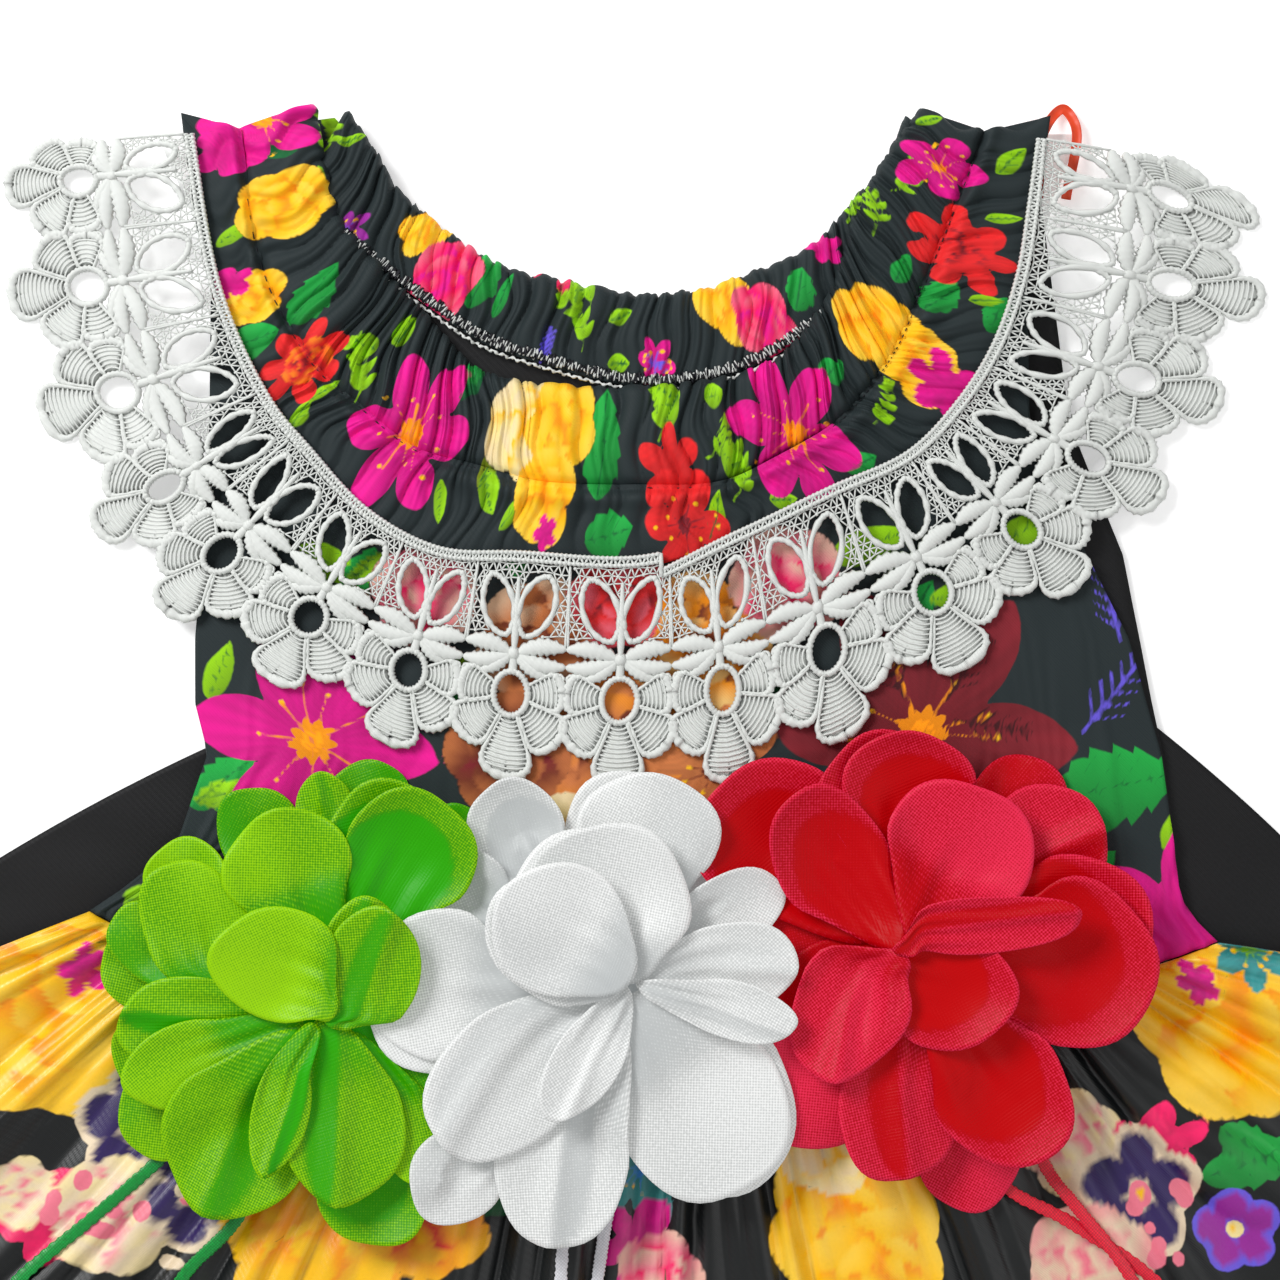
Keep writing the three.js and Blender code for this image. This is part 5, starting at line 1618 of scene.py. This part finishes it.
def rest_on_pile(px, py, ring, relief):
    """Lays a petal on what is laid already, lifts it where it would sink in, and adds it."""
    j, i = cells(px, py)
    below = np.max([laid[j + dj, i + di] for dj in (-1, 0, 1) for di in (-1, 0, 1)], axis=0)
    z = relief + np.quantile(below[:-1] + CLEARANCE - relief[:-1], 0.8)
    need = np.maximum(below + CLEARANCE - z, 0)
    need = np.max([np.roll(need, k, 1) for k in (-2, -1, 0, 1, 2)], axis=0)
    need = np.max([need[np.clip(np.arange(RINGS + 1) + k, 0, RINGS)] for k in (-1, 0, 1)], axis=0)
    z = z + blur(np.concatenate([need] * 3, 1), 2.4, 2.0)[:, SPOKES:2 * SPOKES]
    z = np.maximum(z, below + 0.35 - 3 * (1 - smooth(ring, 0.0, 0.15)))
    z = np.minimum(z, HIGHEST)
    z[0] = z[0].mean()
    np.maximum.at(laid, cells(px[:-1], py[:-1]), z[:-1])
    return z


def petal_faces():
    """A disc of rings round a middle point, its underside, and the cut edge between them."""
    count = 1 + RINGS * SPOKES
    top = [[0, 1 + k, 1 + (k + 1) % SPOKES] for k in range(SPOKES)]
    for r in range(RINGS - 1):
        p, q = 1 + r * SPOKES, 1 + (r + 1) * SPOKES
        top += [[p + k, q + k, q + (k + 1) % SPOKES, p + (k + 1) % SPOKES] for k in range(SPOKES)]
    under = [[n + count for n in f[::-1]] for f in top]
    rim = 1 + (RINGS - 1) * SPOKES
    edge = [[rim + k, rim + k + count, rim + (k + 1) % SPOKES + count, rim + (k + 1) % SPOKES]
            for k in range(SPOKES)]
    return top + under + edge


def disc_of(values):
    """Values on rings and spokes as one list, with a single one for the middle."""
    return np.concatenate([values[0, :1], values[1:].reshape(-1, *values.shape[2:])])


def petal(row, seed, swing=0.0):
    """One petal: round at its tip, sewn in at the heart, and resting on those below."""
    flower, (x, y), long, wide, turn, form, shade, tip, _ = row
    rng = np.random.default_rng(seed)
    heart_x, heart_y = HEARTS[flower]
    if swing:
        x, y = swung(x, y, HEARTS[flower], swing)
        turn += 0.7 * swing
    c, s = math.cos(math.radians(turn)), math.sin(math.radians(turn))
    ring, way = np.meshgrid(np.linspace(0, 1, RINGS + 1), round_way(SPOKES), indexing="ij")
    a, b = ring * np.cos(way), ring * np.sin(way)
    uneven = (1 + 0.03 * ring * np.sin(3 * way + rng.uniform(0, 6))
              + 0.02 * ring * np.sin(5 * way + rng.uniform(0, 6)))
    along = a * long * uneven
    across = b * wide * uneven * (1.14 - 0.3 * smooth(-a, 0.1, 1.0))
    px, py = x + along * c - across * s, y + along * s + across * c
    pull = 0.6 * smooth(-a, 0.45, 1.0)
    px, py = px + (heart_x - x + long * c) * pull, py + (heart_y - y + long * s) * pull
    relief, away = petal_form(a, b, ring, way, wide, form, shade, rng)
    far = np.hypot(px - heart_x, py - heart_y)
    relief = relief + tip * np.clip(far / (far.max() + 1e-6), 0, 1) ** 1.2
    top = disc_of(np.dstack([px, py, rest_on_pile(px, py, ring, relief)]))
    tilt = rng.uniform(-0.8, 0.8)
    grain = np.dstack([along * math.cos(tilt) - across * math.sin(tilt),
                       along * math.sin(tilt) + across * math.cos(tilt), 0 * a]) * MM
    return (np.vstack([top, top - [0, 0, SATIN_THICK]]), np.tile(disc_of(away), 2),
            np.tile(disc_of(grain), (2, 1)))


PETAL_FACES = petal_faces()
SATIN = {"green": (green_satin, 16), "white": (white_satin, 12), "red": (red_satin, 12)}
made = {flower: [] for flower in SATIN}
for flower, (x, y) in HEARTS.items():
    # A ring of nine petals under each flower fills the heart; its shade of 0.6 paints it darker, as it
    # lies under the others.
    for k in range(9):
        turn = 40 * k + 12
        out = (x + 19 * math.cos(math.radians(turn)), y + 19 * math.sin(math.radians(turn)))
        row = (flower, out, 20, 13, turn, "dome", 0.6, 1, 0)
        made[flower].append(petal(row, 500 + k))
for seed, row in enumerate(PETALS):
    if row[-1]:
        made[row[0]].append(petal(row, 300 + seed, row[-1]))
    made[row[0]].append(petal(row, 100 + seed))
for flower, (material, solids) in SATIN.items():
    points, away, grain = (np.concatenate(part) for part in zip(*made[flower]))
    petals = len(made[flower])
    corners = len(points) // petals
    faces = [[n + corners * k for n in face] for k in range(petals) for face in PETAL_FACES]
    cut = [k >= len(PETAL_FACES) - SPOKES for k in range(len(PETAL_FACES))] * petals
    nodes = [f"{flower}_petal_{k + 1}" for k in range(solids)]
    piece = add_piece(flower + "_flower", points, faces, material, flower + "_satin", nodes, cut)
    # The depth attribute carries each petal's painted shade.
    mark(piece, "depth", away)
    store = piece.data.attributes.new("grain", "FLOAT_VECTOR", "POINT")
    store.data.foreach_set("vector", grain.astype(np.float32).ravel())
    print(flower, "petals:", petals, "top mm:", round(float(points[:, 2].max()), 1))

# %% [markdown]
# ## Hanger loop
# A narrow orange ribbon, folded back on itself and sewn into the shoulder.

# %% Hanger loop
LOOP_PATH = [[96, 226], [97.5, 242], [102.5, 248], [105.5, 243], [103, 226]]
loop_plan = strip(curve_of(LOOP_PATH, 0), 2.4)
points, u, v = lay(loop_plan, heights_over("hanger_loop", loop_plan, 8, 90, (1, 20), (0.5, 0.8)))
points[..., 2] += 0.5 * (2 * v - 1) ** 2
add_piece("shoulder_loop", *shell(points, 0.35), orange_ribbon, "orange_ribbon", ["hanger_loop"])
print("shoulder loop, m2:", round(area_of(points), 5))
